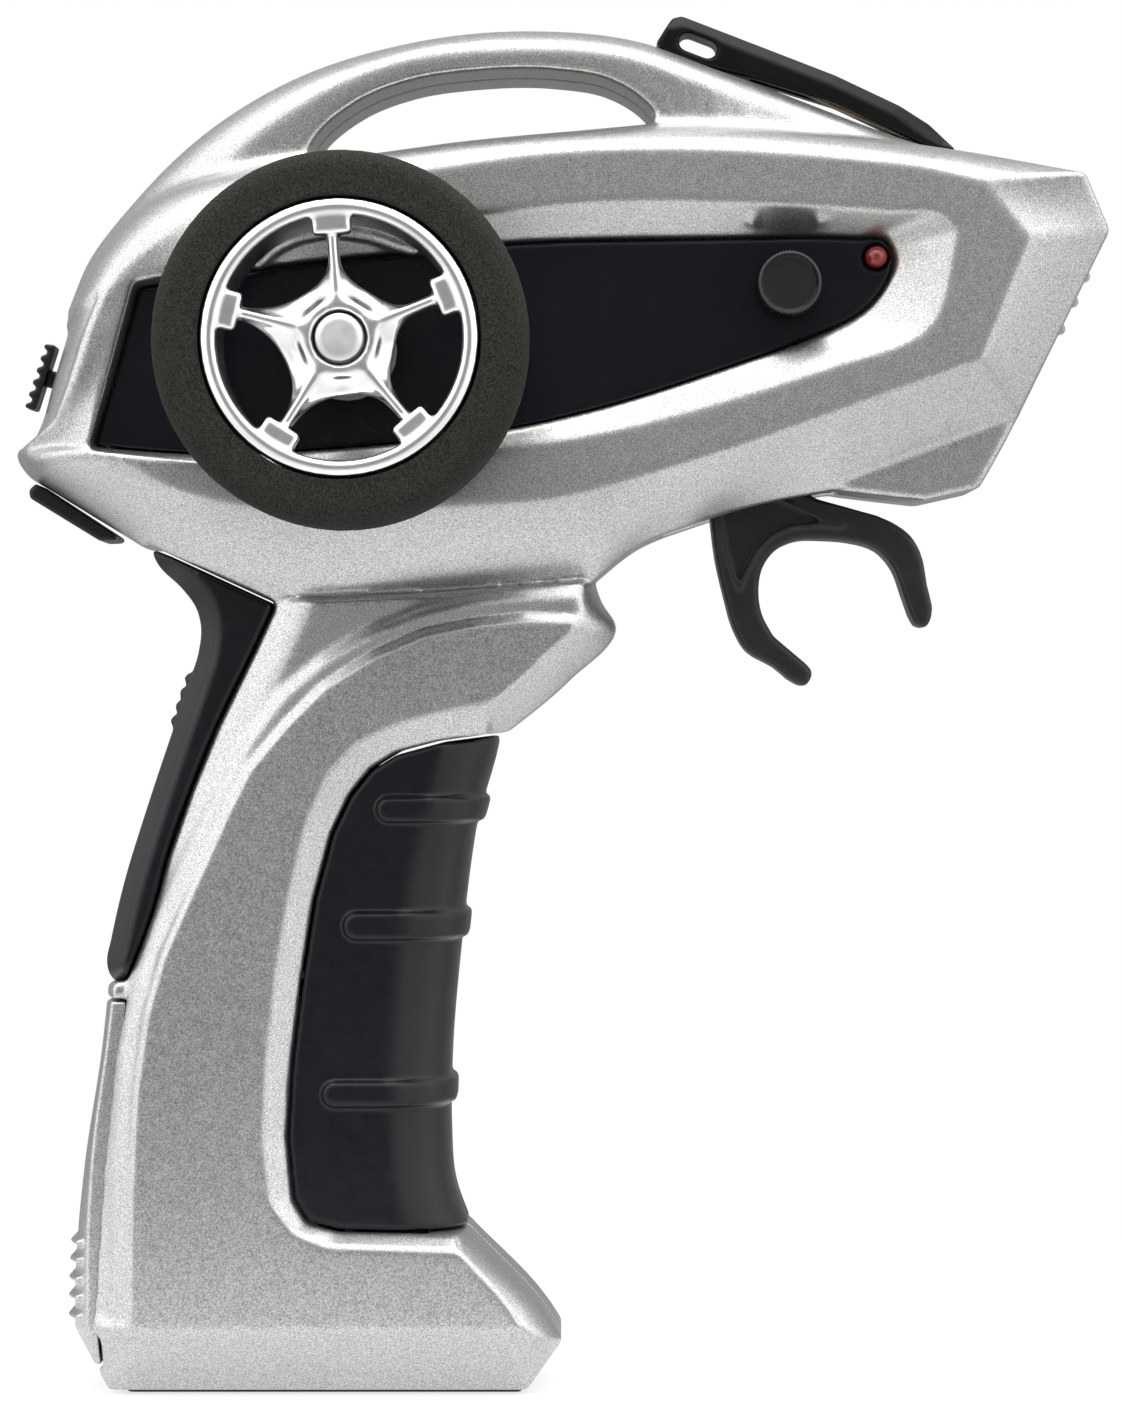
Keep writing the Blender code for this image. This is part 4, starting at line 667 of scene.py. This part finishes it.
REAR_PANEL = [(-30.8, 152.1), (-33.6, 145.2), (-35.5, 139.3), (-37.4, 134.5), (-42.0, 131.5), (-48.0, 131.2),
              (-48.0, 141.0), (-35.2, 149.3)]
ARROWS = [[(57.3, 161.6), (59.2, 160.5), (59.2, 162.7)], [(68.8, 161.6), (66.9, 160.5), (66.9, 162.7)]]
STEERING_ARC = [(-9.2, 155.9), (-6.6, 158.0), (-3.0, 159.5), (2.0, 160.0), (7.0, 159.3), (9.6, 158.4),
                (12.2, 157.8)]


def steering_marks(field, body):
    """Raised arrowheads over the trim knob and a raised arc over the steering wheel's hub."""
    for arrow in ARROWS:
        body = smooth_join(body, np.maximum(body - 0.4, field.outline(arrow) + 0.05), 0.12)
    arc = field.line(curve_through(STEERING_ARC, 4)) - 0.65
    return smooth_join(body, np.maximum(body - 0.8, arc), 0.3)


def shells():
    field, body = shell_field()
    body = smooth_cut(body, frame_slope(field), 0.35)
    strap = [(x - 6.0 * (k > 1), z) for k, (x, z) in enumerate(STRAP_BACK)] + STRAP_INNER
    cuts = [
        field.plate(INSERT_OUTLINE, -5, INSERT_DEPTH + 0.1) - GAP,
        field.plate(strap, -5, STRAP_SLOT_DEPTH) - GAP,
        field.plate(DOOR_BACK + DOOR_INNER, -5, DOOR_HALF) - GAP,
        field.plate(PAD, -6, PAD_HALF - 1.2) - GAP,
        field.plate(FIN, -5, FIN_HALF) - GAP,
        field.plate(SLOT_BOX, -6, 5.3),
        field.plate(SWITCH_SLOT, -4, 1.6),
    ]
    for cut in cuts:
        body = smooth_cut(body, cut, 0.25)
    hollows = [
        field.plate(HEAD_HOLLOW, -5, 11.4), field.plate(SIDE_HOLLOW, 0.5, 14.3),
        field.plate(GRIP_HOLLOW, -5, 15.2), field.plate(FOOT_HOLLOW, -5, 13.8),
        field.plate(NECK_HOLLOW, -5, 11.0), field.plate(REAR_HOLLOW, -5, 11.6),
        field.bar((-33.6, 0, 128.4), (-38.2, 0, 121.0), 2.4), field.bar((66, 0, 160), (66, 0, 184), 1.5),
    ]
    hollows += [field.bar((x - 4.5, 0, z + 2.2), (x + 2.7, 0, z - 1.3), 1.2) for x, z in NOSE_LEDS]
    for hollow in hollows:
        body = np.maximum(body, -hollow)
    parting = PARTING - field.depth
    body = np.maximum(body, np.minimum(-1.6 * field.outline(REAR_PANEL), body + 0.6))
    right = steering_marks(field, body)
    for centre, radius in PANEL_HOLES:
        right = np.maximum(right, -np.maximum(field.axle(centre, radius), 10 - field.depth))
    left = body
    for place, seat in zip(SCREWS, SCREW_DEPTHS):
        left = smooth_cut(left, np.maximum(field.axle(place, 2.6), seat - 1.9 - field.depth), 0.3)
    field.skin("right_casing", np.maximum(right, parting), SILVER, "casing", ["right_shell"], "silver_paint")
    field.skin("left_casing", np.maximum(left, parting), SILVER, "casing", ["left_shell"], "silver_paint",
               mirror=True)


shells()


# Panel inlays

def panels():
    field = Field((-33.5, 15.4, 129.0), (79.5, 18.8, 161.5), 0.3)
    shape = smooth_cut(field.outline(window_outline) + GAP, -field.slab(FLOOR + GAP, PANEL_FRONT), 0.35)
    holed = shape
    for centre, radius in PANEL_HOLES:
        holed = smooth_cut(holed, field.axle(centre, radius), 0.3)
    field.skin("control_inlay", holed, PANEL_BLACK, "casing", ["control_panel"], "black_plastic")
    field.skin("left_inlay", shape, PANEL_BLACK, "casing", ["left_panel"], "black_plastic", mirror=True)


panels()


# Steering wheel

def turned(name, profile, centre, paint, body, nodes, steps=128, wobble=None):
    """A profile of (radius, depth) points turned about an axis along the depth through (x, z)."""
    shape = bmesh.new()
    rings = []
    for radius, depth in profile:
        if radius < 1e-6:
            rings.append([shape.verts.new((centre[0] * MM, -depth * MM, centre[1] * MM))])
            continue
        line = []
        for k in range(steps):
            angle = 2 * math.pi * k / steps
            reach = radius - (wobble(angle, radius, depth) if wobble else 0.0)
            line.append(shape.verts.new(((centre[0] + reach * math.cos(angle)) * MM, -depth * MM,
                                         (centre[1] + reach * math.sin(angle)) * MM)))
        rings.append(line)
    closed = len(rings[0]) > 1
    for lower, upper in zip(rings, rings[1:] + rings[:1] if closed else rings[1:]):
        for k in range(steps):
            after = (k + 1) % steps
            corners = [lower[k % len(lower)], lower[after % len(lower)],
                       upper[after % len(upper)], upper[k % len(upper)]]
            shape.faces.new(list(dict.fromkeys(corners)))
    bmesh.ops.recalc_face_normals(shape, faces=shape.faces)
    mesh = bpy.data.meshes.new(name)
    shape.to_mesh(mesh)
    shape.free()
    mesh.shade_smooth()
    mesh.set_sharp_from_angle(angle=math.radians(38))
    made = bpy.data.objects.new(name, mesh)
    bpy.context.scene.collection.objects.link(made)
    return placed(made, paint, body, nodes)


def rounded(corners, radius, steps=5):
    """A (radius, depth) profile with each corner turned into a small arc."""
    line = []
    for k, corner in enumerate(corners):
        here = Vector(corner)
        before, after = Vector(corners[k - 1]), Vector(corners[(k + 1) % len(corners)])
        own = radius[k] if isinstance(radius, list) else radius
        if own <= 0 or k in (0, len(corners) - 1) and corner[0] < 1e-6:
            line.append(corner)
            continue
        first = here + (before - here).normalized() * min(own, (before - here).length * 0.49)
        last = here + (after - here).normalized() * min(own, (after - here).length * 0.49)
        for step in range(steps + 1):
            t = step / steps
            p = first * (1 - t) ** 2 + here * 2 * t * (1 - t) + last * t**2
            line.append((p.x, p.y))
    return line


TYRE = [(18.75, 26.6), (25.0, 26.6), (25.15, 45.6), (18.75, 45.9)]


def tyre():
    profile = rounded(TYRE, [0.4, 3.4, 4.2, 0.5], 10)
    dense = []
    for a, b in zip(profile, profile[1:] + profile[:1]):
        pieces = max(1, round(math.dist(a, b) / 0.55))
        dense += [(a[0] + (b[0] - a[0]) * k / pieces, a[1] + (b[1] - a[1]) * k / pieces)
                  for k in range(pieces)]
    made = turned("foam_tyre", dense, WHEEL_AXIS, FOAM, "wheel", ["steering_tyre"], 288)
    pores = bpy.data.textures.new("pores", "CLOUDS")
    pores.noise_scale = 0.0011
    pores.noise_depth = 1
    rough = made.modifiers.new("pores", "DISPLACE")
    rough.texture = pores
    rough.texture_coords = "LOCAL"
    rough.strength, rough.mid_level = 0.00012, 0.5


RIM_OUTER, RIM_INNER, RIM_FACE, RIM_BACK = 18.45, 16.25, 46.5, 28.0
RIM_GROOVE, GROOVE_HALF, GROOVE_FLOOR = 17.95, 0.2, 46.05
SPOKE_REACH, SPOKE_HALF, WEB_FILLET = 17.0, 0.8, 9.5
WEB_FACE, WEB_BACK, DISH_FALL, VALLEY_FALL = 45.2, 41.6, 0.9, 1.5
RIB_START, RIB_END, RIB_RADIUS = 3.2, 16.4, 0.62
PAD_HALF_WIDTH, PAD_START, PAD_END, PAD_BACK, PAD_FACE = 2.6, 13.7, 17.2, 42.0, 45.9
HUB_RADIUS, HUB_BACK, HUB_FACE = 5.0, 28.6, 45.0
CAP_RECESS, CAP_FLOOR, SHAFT_RECESS, SHAFT_FLOOR, SCREW_BORE, SCREW_FLOOR = 3.62, 42.3, 2.8, 41.0, 1.3, 44.0


def wheel_rim():
    cx, cz = WHEEL_AXIS
    field = Field((cx - 19.6, 27.2, cz - 19.6), (cx + 19.6, 47.4, cz + 19.6), 0.3)
    radius = field.axle(WHEEL_AXIS, 0.0)
    ring_shape = np.maximum(radius - RIM_OUTER, RIM_INNER - radius)
    ring_shape = smooth_cut(ring_shape, -field.slab(RIM_BACK, RIM_FACE), 1.15)
    groove = np.maximum(np.abs(radius - RIM_GROOVE) - GROOVE_HALF, GROOVE_FLOOR - field.depth)
    ring_shape = smooth_cut(ring_shape, groove, 0.15)
    star = ribs = pads = ridge = None
    for angle in map(math.radians, SPOKE_ANGLES):
        c, s = math.cos(angle), math.sin(angle)
        along = (field.x - cx) * c + (field.z - cz) * s
        across = (field.z - cz) * c - (field.x - cx) * s
        spoke = np.hypot(across, np.maximum(-along, 0) + np.maximum(along - SPOKE_REACH, 0)) - SPOKE_HALF
        star = spoke if star is None else smooth_join(star, spoke, WEB_FILLET)
        away = np.hypot(across, np.maximum(-along, 0))
        ridge = away if ridge is None else np.minimum(ridge, away)
        rib = field.bar((cx + RIB_START * c, 44.5, cz + RIB_START * s),
                        (cx + RIB_END * c, 44.6, cz + RIB_END * s), RIB_RADIUS)
        ribs = rib if ribs is None else np.minimum(ribs, rib)
        pad = np.maximum(np.abs(across) - PAD_HALF_WIDTH, np.maximum(PAD_START - along, along - PAD_END))
        pad = smooth_cut(pad, -field.slab(PAD_BACK, PAD_FACE), 0.7)
        pads = pad if pads is None else np.minimum(pads, pad)
    dish = DISH_FALL * step_between(radius, 3.6, 12.0)
    valleys = VALLEY_FALL * step_between(ridge, 0.0, 3.4) * step_between(radius, 2.5, 7.0)
    front = WEB_FACE - dish - valleys
    web = smooth_cut(star, -np.maximum(WEB_BACK - field.depth, field.depth - front), 0.7)
    hub = smooth_cut(radius - HUB_RADIUS, -field.slab(HUB_BACK, HUB_FACE), 0.5)
    shape = smooth_join(web, hub, 1.2)
    shape = smooth_join(shape, ribs, 0.7)
    shape = smooth_join(shape, pads, 0.35)
    shape = smooth_join(shape, ring_shape, 0.45)
    shape = smooth_cut(shape, np.maximum(radius - CAP_RECESS, CAP_FLOOR - field.depth), 0.2)
    for bore, end in ((SHAFT_RECESS, SHAFT_FLOOR), (SCREW_BORE, SCREW_FLOOR)):
        shape = np.maximum(shape, -np.maximum(radius - bore, field.depth - end))
    field.skin("plated_rim", shape, CHROME, "wheel", ["wheel_rim"], "chrome_plate", polish=3)


tyre()
wheel_rim()
HUB_BUTTON = [(0, 44.3), (3.18, 44.3), (3.18, 45.9), (2.4, 46.25), (0, 46.4)]
turned("hub_button", rounded(HUB_BUTTON, 0.35), WHEEL_AXIS, CAP_GREY, "wheel", ["hub_cap"],
       96)


# Trim knob and lamps

KNURLS, KNURL_DEPTH, KNOB_RADIUS = 60, 0.17, 4.6
KNOB_PROFILE = [(0, 18.4), (4.3, 18.4), (4.6, 18.7), (4.6, 20.5), (4.6, 22.5), (4.6, 23.5), (4.28, 24.1),
                (4.05, 24.2), (3.9, 24.15), (3.75, 23.8), (3.6, 23.66), (1.8, 23.6), (0, 23.58)]


def knurl(angle, radius, depth):
    rim = step_between(radius, KNOB_RADIUS - 0.3, KNOB_RADIUS - 0.05)
    return KNURL_DEPTH * rim * (1 - math.cos(KNURLS * angle))


turned("ribbed_knob", KNOB_PROFILE, TRIM_AXIS, KNOB, "trim", ["trim_knob"], 480, knurl)
LED_RADIUS, LED_START, LED_SHOULDER = 1.5, 13.6, 18.3
NOSE_LAMP_RADIUS, NOSE_LAMP_START, NOSE_LAMP_SHOULDER = 0.9, -5.0, 0.4


def lamp_profile(radius, start, shoulder, step):
    """A rod of (radius, depth) points with a half-round end."""
    arc = [math.radians(angle) for angle in range(step, 90, step)]
    return [(0, start), (radius, start), (radius, shoulder),
            *[(radius * math.cos(a), shoulder + radius * math.sin(a)) for a in arc], (0, shoulder + radius)]


turned("red_indicator", lamp_profile(LED_RADIUS, LED_START, LED_SHOULDER, 10), LED_PLACE, RED_LENS,
       "casing", ["power_led"], 64)


def nose_lamp(index, place):
    """A clear lamp with a round end, pointing out of the nose."""
    profile = lamp_profile(NOSE_LAMP_RADIUS, NOSE_LAMP_START, NOSE_LAMP_SHOULDER, 15)
    lamp = turned(f"clear_lamp_{index}", profile, (0, 0), CLEAR_LENS, "casing",
                  [f"nose_led_{index}"], 40)
    turn = Vector((0, -1, 0)).rotation_difference(NOSE_NORMAL).to_matrix().to_4x4()
    lamp.data.transform(Matrix.Translation(Vector((place[0], 0, place[1])) * MM) @ turn)


for number, where in enumerate(NOSE_LEDS, 1):
    nose_lamp(number, where)


# Trigger: a forward-opening fork with a recessed pocket on each side

TRIGGER_OUTER = [(53.2, 122.0), (54.0, 115.8), (55.2, 110.6), (56.5, 106.1), (58.3, 103.0), (62.1, 100.8),
                 (65.3, 98.4), (66.4, 98.1), (67.2, 98.9), (67.5, 100.1), (66.7, 101.2)]
TRIGGER_ARC = [(62.1, 105.1), (60.5, 108.1), (60.0, 111.6), (60.6, 114.8), (62.3, 117.1), (65.3, 118.5),
               (69.0, 118.6), (72.7, 118.3), (76.6, 117.1), (78.9, 114.5), (80.2, 111.0), (81.3, 107.9)]
TRIGGER_FRONT = [(82.0, 106.6), (83.3, 106.3), (84.2, 107.6), (83.6, 112.4), (82.6, 117.1), (81.3, 119.2),
                 (78.5, 121.2), (72.0, 123.3), (66.6, 125.3), (64.8, 130.5)]
POCKET = [(54.6, 122.0), (55.6, 116.8), (57.2, 111.6), (58.3, 114.3), (59.8, 117.1), (62.0, 119.3),
          (64.6, 120.4), (68.2, 120.7), (71.8, 120.4), (68.0, 121.9), (65.0, 123.2), (62.6, 124.3),
          (55.0, 124.3)]
TRIGGER_HALF, POCKET_DEPTH, BEAD_RADIUS, PIVOT_BORE = 4.5, 0.9, 0.42, 1.8


def trigger():
    field = Field((52.0, -5.2, 97.0), (85.4, 5.2, 138.4), 0.27)
    outline = [p for line in (TRIGGER_OUTER, TRIGGER_ARC, TRIGGER_FRONT) for p in curve_through(line, 3)]
    shape = smooth_cut(field.outline(outline + circle(TRIGGER_PIVOT, 4.5, 16, 0, 180)),
                       -field.slab(-TRIGGER_HALF, TRIGGER_HALF), 1.0)
    pocket = field.outline(POCKET)
    side = np.abs(field.depth)
    shape = smooth_cut(shape, np.maximum(pocket, TRIGGER_HALF - POCKET_DEPTH - side), 0.3)
    bead = np.hypot(pocket, side - TRIGGER_HALF) - BEAD_RADIUS
    shape = smooth_join(shape, np.maximum(bead, field.outline(outline) + 0.4), 0.15)
    shape = np.maximum(shape, -field.axle(TRIGGER_PIVOT, PIVOT_BORE))
    field.skin("fork_trigger", shape, TRIGGER_BLACK, "trigger", ["trigger"], "black_plastic")


trigger()


# Antenna housing: a faceted fin with a lanyard slot, over a groove for the antenna

SLOT_MIDDLE, SLOT_TILT = (51.5, 187.9), math.radians(-21)
SLOT_HALF_LENGTH, SLOT_RADIUS = 1.5, 1.25
FIN_RIDGE = [(47.9, 191.9), (49.3, 192.2), (62.0, 187.3), (70.8, 183.9), (79.9, 179.6), (86.2, 174.9)]


def antenna_fin():
    field = Field((44.8, -4.8, 172.0), (89.0, 4.8, 193.2), 0.26)
    shape = smooth_cut(field.outline(FIN), -field.slab(-4.2, 4.2), 0.45)
    limit = 2.6 + 1.6 * np.clip(field.line(FIN_RIDGE) / 1.7, 0, 1)
    shape = smooth_cut(shape, limit - np.abs(field.depth), 0.15)
    reach = SLOT_HALF_LENGTH * math.cos(SLOT_TILT), SLOT_HALF_LENGTH * math.sin(SLOT_TILT)
    ends = [(SLOT_MIDDLE[0] + side * reach[0], SLOT_MIDDLE[1] + side * reach[1]) for side in (-1, 1)]
    slot = field.line(ends) - SLOT_RADIUS
    shape = smooth_cut(shape, slot, 0.5)
    groove = field.plate([(60.5, 185.6), (83.0, 175.9), (82.2, 173.2), (58.6, 183.0)], -0.9, 0.9)
    field.skin("antenna_fin", np.maximum(shape, -groove), FIN_BLACK, "casing", ["antenna_housing"],
               "black_plastic")


antenna_fin()


# Back strap: rubber with a slope along each rear edge and four grip ribs

STRAP_RIBS = [(-19.35, 99.1), (-20.05, 97.1), (-20.65, 95.2), (-21.3, 93.2)]


def back_strap():
    field = Field((-33.0, -16.4, 55.6), (-6.0, 16.4, 118.6), 0.38)
    back, front = curve_through(STRAP_BACK, 5), curve_through(STRAP_INNER, 4)
    edge = field.line(back)
    limit = 9.5 + 5.2 * np.clip(edge / 2.4, 0, 1) + 0.8 * np.clip((edge - 2.4) / 0.8, 0, 1)
    shape = smooth_cut(field.outline(back + front), -field.slab(-STRAP_HALF, STRAP_HALF), 0.5)
    shape = smooth_cut(shape, limit - np.abs(field.depth), 0.5)
    for x, z in STRAP_RIBS:
        shape = smooth_join(shape, field.bar((x, -8.2, z), (x, 8.2, z), 0.85), 0.2)
    field.skin("rubber_strap", shape, RUBBER, "casing", ["back_strap"], "rubber")


back_strap()


# Front grip: rubber wrapped round the front of the handle, with three raised bands

GRIP_FRONT = [(20.2, 21.0), (17.4, 29), (16.9, 36), (17.0, 46), (18.2, 60.9), (20.3, 77.8), (23.6, 94.0)]
GRIP_CHEEK = [(8.0, 21.0), (6.5, 36), (7.0, 55), (9.5, 75), (14.0, 94.0)]
BANDS = [(6.9, 79.3, 82.8), (2.3, 63.1, 66.9), (-0.6, 40.1, 43.6)]
BAND_RISE, RUBBER_WALL = 0.95, 2.2


def rubber_rings(front, cheek, back_front, back_cheek, half):
    counts = [60, 60]
    middle = ring([front, back_front], 0, counts, {0, 1})
    shoulder = flat(middle, 4.0)
    side = ring([cheek, back_cheek], half, counts, {0, 1})
    full = [1.0] * len(middle)
    bends = [between(shoulder, side, k / 20, full) for k in range(1, 20)]
    return both_sides([middle, shoulder, *bends, side])


def front_grip():
    field = Field((-6.6, -18.6, 22.0), (25.4, 18.6, 92.4), 0.33)
    back = [(-9.0, 94.0), (-9.0, 60.0), (-9.0, 20.0)]
    rubber = field.loft(rubber_rings(GRIP_FRONT, GRIP_CHEEK, back, back, INSERT_DEPTH - 0.4))
    opening = field.outline(INSERT_OUTLINE)
    inner_front = [(16.6, 15)] + [(x - RUBBER_WALL, z) for x, z in GRIP_FRONT[1:-1]] + [(22, 100)]
    inner_cheek = [(6, 15)] + [(x - RUBBER_WALL, z) for x, z in GRIP_CHEEK[1:-1]] + [(12, 100)]
    hollow_back = [(-20, 100), (-20, 40), (-20, 15)]
    hollow = field.loft(rubber_rings(inner_front, inner_cheek, hollow_back, hollow_back, 15.1))
    shape = smooth_cut(rubber, -opening, 0.3)
    for start, low, high in BANDS:
        middle, half = (low + high) / 2, (high - low) / 2
        band = field.line([(start + half, middle), (40, middle)]) - half
        shape = smooth_join(shape, smooth_cut(rubber - BAND_RISE, -band, 0.45), 0.15)
    shape = np.maximum(shape, -hollow)
    field.skin("rubber_grip", shape, RUBBER, "casing", ["front_grip"], "rubber")


front_grip()


# Battery door with its finger ribs

RIB_HEIGHTS = [21.1, 18.6, 16.0, 13.5, 10.8]


def battery_door():
    field = Field((-40.5, -15.4, 3.2), (-26.8, 15.4, 55.4), 0.22)
    grip = field.loft(both_sides(grip_rings()))
    ribs = [np.hypot(np.maximum(grip - 0.5, 0), field.z - height) - 0.42 for height in RIB_HEIGHTS]
    ribbed = grip
    for rib in ribs:
        ribbed = smooth_join(ribbed, np.maximum(rib, np.abs(field.depth) - 13.6), 0.12)
    shape = smooth_cut(ribbed, -field.plate(DOOR_BACK + DOOR_INNER, -DOOR_HALF, DOOR_HALF), 0.25)
    field.skin("ribbed_door", shape, SILVER, "door", ["battery_door"], "silver_paint")


battery_door()


# Power switch knob, port cover and base pad

SWITCH_MIDDLE, SWITCH_UP, SWITCH_OUT = (-39.6, 141.35), (0.305, 0.952), (-0.952, 0.305)


def on_rear(points):
    """Points given as (out, up) from the switch's middle, as (x, z)."""
    return [(SWITCH_MIDDLE[0] + SWITCH_OUT[0] * out + SWITCH_UP[0] * up,
             SWITCH_MIDDLE[1] + SWITCH_OUT[1] * out + SWITCH_UP[1] * up) for out, up in points]


def switch_knob():
    field = Field((-44.6, -3.8, 135.6), (-33.8, 3.8, 147.0), 0.2)
    teeth = []
    for k in range(6):
        rise = 4.4 - 1.76 * k
        teeth += [(2.0, rise), (2.0, rise - 0.55), (1.3, rise - 0.85), (1.3, rise - 1.3)]
    base = field.plate(on_rear([(0.4, 4.7)] + teeth[:-2] + [(0.4, -4.95)]), -3.2, 3.2, 0.3)
    stem = field.plate(on_rear([(0.8, 1.2), (-4.2, 1.2), (-4.2, -1.2), (0.8, -1.2)]), -1.2, 1.2)
    field.skin("switch_slider", smooth_join(base, stem, 0.2), BLACK, "switch", ["power_switch_knob"],
               "black_plastic", polish=2)


def port_cover():
    field = Field((-43.0, -8.2, 117.4), (-29.0, 8.2, 127.0), 0.25)
    outline = [(-41.0, 126.4), (-42.0, 125.4), (-41.8, 124.3),
               (-32.0, 118.3), (-29.9, 118.4), (-29.6, 118.95)]
    field.skin("port_flap", field.plate(outline, -7.5, 7.5, 0.5), BLACK, "cover", ["port_cover"],
               "black_plastic")


def base_pad():
    field = Field((-29.0, -12.0, -0.8), (28.0, 12.0, 2.2), 0.3)
    field.skin("base_rubber", field.plate(PAD, 1.2 - PAD_HALF, PAD_HALF - 1.2, 0.3), RUBBER, "casing",
               ["base_pad"], "rubber")


switch_knob()
port_cover()
base_pad()


# Casing screws with crossed recesses

def casing_screw(index, place, seat):
    x, z = place
    field = Field((x - 2.6, -seat - 0.4, z - 2.6), (x + 2.6, 7.6, z + 2.6), 0.2)
    head = -(seat - 0.2)
    radius = field.axle(place, 0.0)
    cap = smooth_cut(radius - 2.2, -field.slab(head, head + 1.4), 0.4)
    shank = np.maximum(radius - 1.05, field.slab(head + 1, 6.8))
    cross = np.minimum(np.maximum(np.abs(field.x - x) - 0.3, np.abs(field.z - z) - 1.25),
                       np.maximum(np.abs(field.z - z) - 0.3, np.abs(field.x - x) - 1.25))
    shape = np.maximum(smooth_join(cap, shank, 0.4), -np.maximum(cross, field.depth - head - 0.8))
    field.skin(f"cross_screw_{index}", shape, STEEL, "casing", [f"casing_screw_{index}"], "steel", polish=1)


for number, (where, seat_depth) in enumerate(zip(SCREWS, SCREW_DEPTHS), 1):
    casing_screw(number, where, seat_depth)


# Pieces that keep their CAD shape

KEPT = [
    (BOARD, "nose_led_board main_board"),
    (BLACK, "control_chip capacitor charge_socket battery_wire_black antenna_lead"),
    (RED_WIRE, "battery_wire_red"),
    (BRASS, "antenna"),
    (STEEL, "radio_module crystal wheel_screw steering_shaft steering_return_spring steering_bracket"),
    (STEEL, "bracket_screw_1 bracket_screw_2 trigger_pivot_pin trigger_return_spring"),
    (STEEL, "battery_spring_1 battery_spring_2 battery_spring_3 battery_spring_4"),
    (GREY, "steering_bush steering_arm steering_pot trim_pot throttle_pot power_switch_body battery_holder"),
    (WRAP, "cell_1 cell_2 cell_3 cell_4"),
]
for paint, names in KEPT:
    for node in names.split():
        data = bpy.data.objects[node].data
        data.materials.clear()
        data.materials.append(paint)

# Camera, light and floor

camera_data = bpy.data.cameras.new("camera")
camera_data.lens = 130.0
camera_data.sensor_fit = "VERTICAL"
camera_data.sensor_width = camera_data.sensor_height = 36.0
camera_data.clip_start = 0.01
camera = bpy.data.objects.new("camera", camera_data)
camera.location = (0.0323, -0.720, 0.0951)
camera.rotation_euler = (math.pi / 2, 0, 0)
bpy.context.scene.collection.objects.link(camera)
bpy.context.scene.camera = camera

LIGHT_SIDES, LIGHT_BELOW, LIGHT_ABOVE, FAR_SHARE = 0.37, 0.9, 2.6, 0.3


def studio_world():
    """A light tent: bright above and at both ends, darker beyond the object's two sides and behind it."""
    world = bpy.data.worlds.new("studio")
    bpy.context.scene.world = world
    world.use_nodes = True
    nodes, links = world.node_tree.nodes, world.node_tree.links
    nodes.clear()
    place = nodes.new("ShaderNodeTexCoord").outputs["Generated"]
    split = nodes.new("ShaderNodeSeparateXYZ")
    links.new(place, split.inputs["Vector"])

    def maths(operation, first, second):
        node = nodes.new("ShaderNodeMath")
        node.operation = operation
        for socket, value in zip(node.inputs, (first, second)):
            if isinstance(value, (int, float)):
                socket.default_value = value
            else:
                links.new(value, socket)
        return node.outputs["Value"]

    def ranged(value, start, end, low, high):
        node = nodes.new("ShaderNodeMapRange")
        node.interpolation_type = "SMOOTHSTEP"
        links.new(value, node.inputs["Value"])
        for name, number in zip(("From Min", "From Max", "To Min", "To Max"), (start, end, low, high)):
            node.inputs[name].default_value = number
        return node.outputs["Result"]

    facing = maths("ABSOLUTE", split.outputs["Y"], 0.0)
    sideways = ranged(facing, 0.68, 0.97, 0.0, 1.0)
    far = ranged(split.outputs["Y"], 0.05, 0.7, 1.0, FAR_SHARE)
    open_light = maths("MULTIPLY", ranged(split.outputs["Z"], -0.9, 0.9, LIGHT_BELOW, LIGHT_ABOVE), far)
    glow = maths("ADD", maths("MULTIPLY", open_light, maths("SUBTRACT", 1.0, sideways)),
                 maths("MULTIPLY", sideways, LIGHT_SIDES))
    soft = nodes.new("ShaderNodeBackground")
    links.new(glow, soft.inputs["Strength"])
    white = nodes.new("ShaderNodeBackground")
    white.inputs["Strength"].default_value = 1.0
    white.inputs["Color"].default_value = (1, 1, 1, 1)
    mix = nodes.new("ShaderNodeMixShader")
    links.new(nodes.new("ShaderNodeLightPath").outputs["Is Camera Ray"], mix.inputs["Fac"])
    links.new(soft.outputs["Background"], mix.inputs[1])
    links.new(white.outputs["Background"], mix.inputs[2])
    links.new(mix.outputs["Shader"], nodes.new("ShaderNodeOutputWorld").inputs["Surface"])


studio_world()


def softbox(name, place, aim, size, power):
    light = bpy.data.lights.new(name, "AREA")
    light.shape = "RECTANGLE"
    light.size, light.size_y = size
    light.energy = power
    made = bpy.data.objects.new(name, light)
    made.location = place
    made.rotation_euler = (Vector(aim) - Vector(place)).to_track_quat("-Z", "Y").to_euler()
    bpy.context.scene.collection.objects.link(made)


softbox("top_light", (0.05, -0.15, 1.4), (0.03, 0, 0.1), (1.2, 1.0), 9.0)


def paper_floor():
    """A pale sheet of glowing paper that fades out round the object."""
    mesh = bpy.data.meshes.new("floor")
    body = bmesh.new()
    bmesh.ops.create_circle(body, cap_ends=True, segments=96, radius=0.5)
    body.to_mesh(mesh)
    body.free()
    floor = bpy.data.objects.new("floor", mesh)
    bpy.context.scene.collection.objects.link(floor)
    paper = Paint("floor_paper", (0.3, 0.3, 0.3), 0.9, Specular_IOR_Level=0.0, Emission_Strength=0.72,
                  Emission_Color=(1.0, 1.0, 1.0, 1.0))
    paper.tint(paper.noise(3.0), 0.99, 1.01)
    reach = paper.nodes.new("ShaderNodeVectorMath")
    reach.operation = "LENGTH"
    paper.links.new(paper.place, reach.inputs[0])
    fade = paper.ranged(reach.outputs["Value"], 1.0, 0.0, 0.06, 0.24)
    paper.links.new(fade, paper.shader.inputs["Alpha"])
    mesh.materials.append(paper.material)


paper_floor()

bpy.context.scene.view_settings.view_transform = "Standard"
bpy.context.scene.view_settings.look = "None"
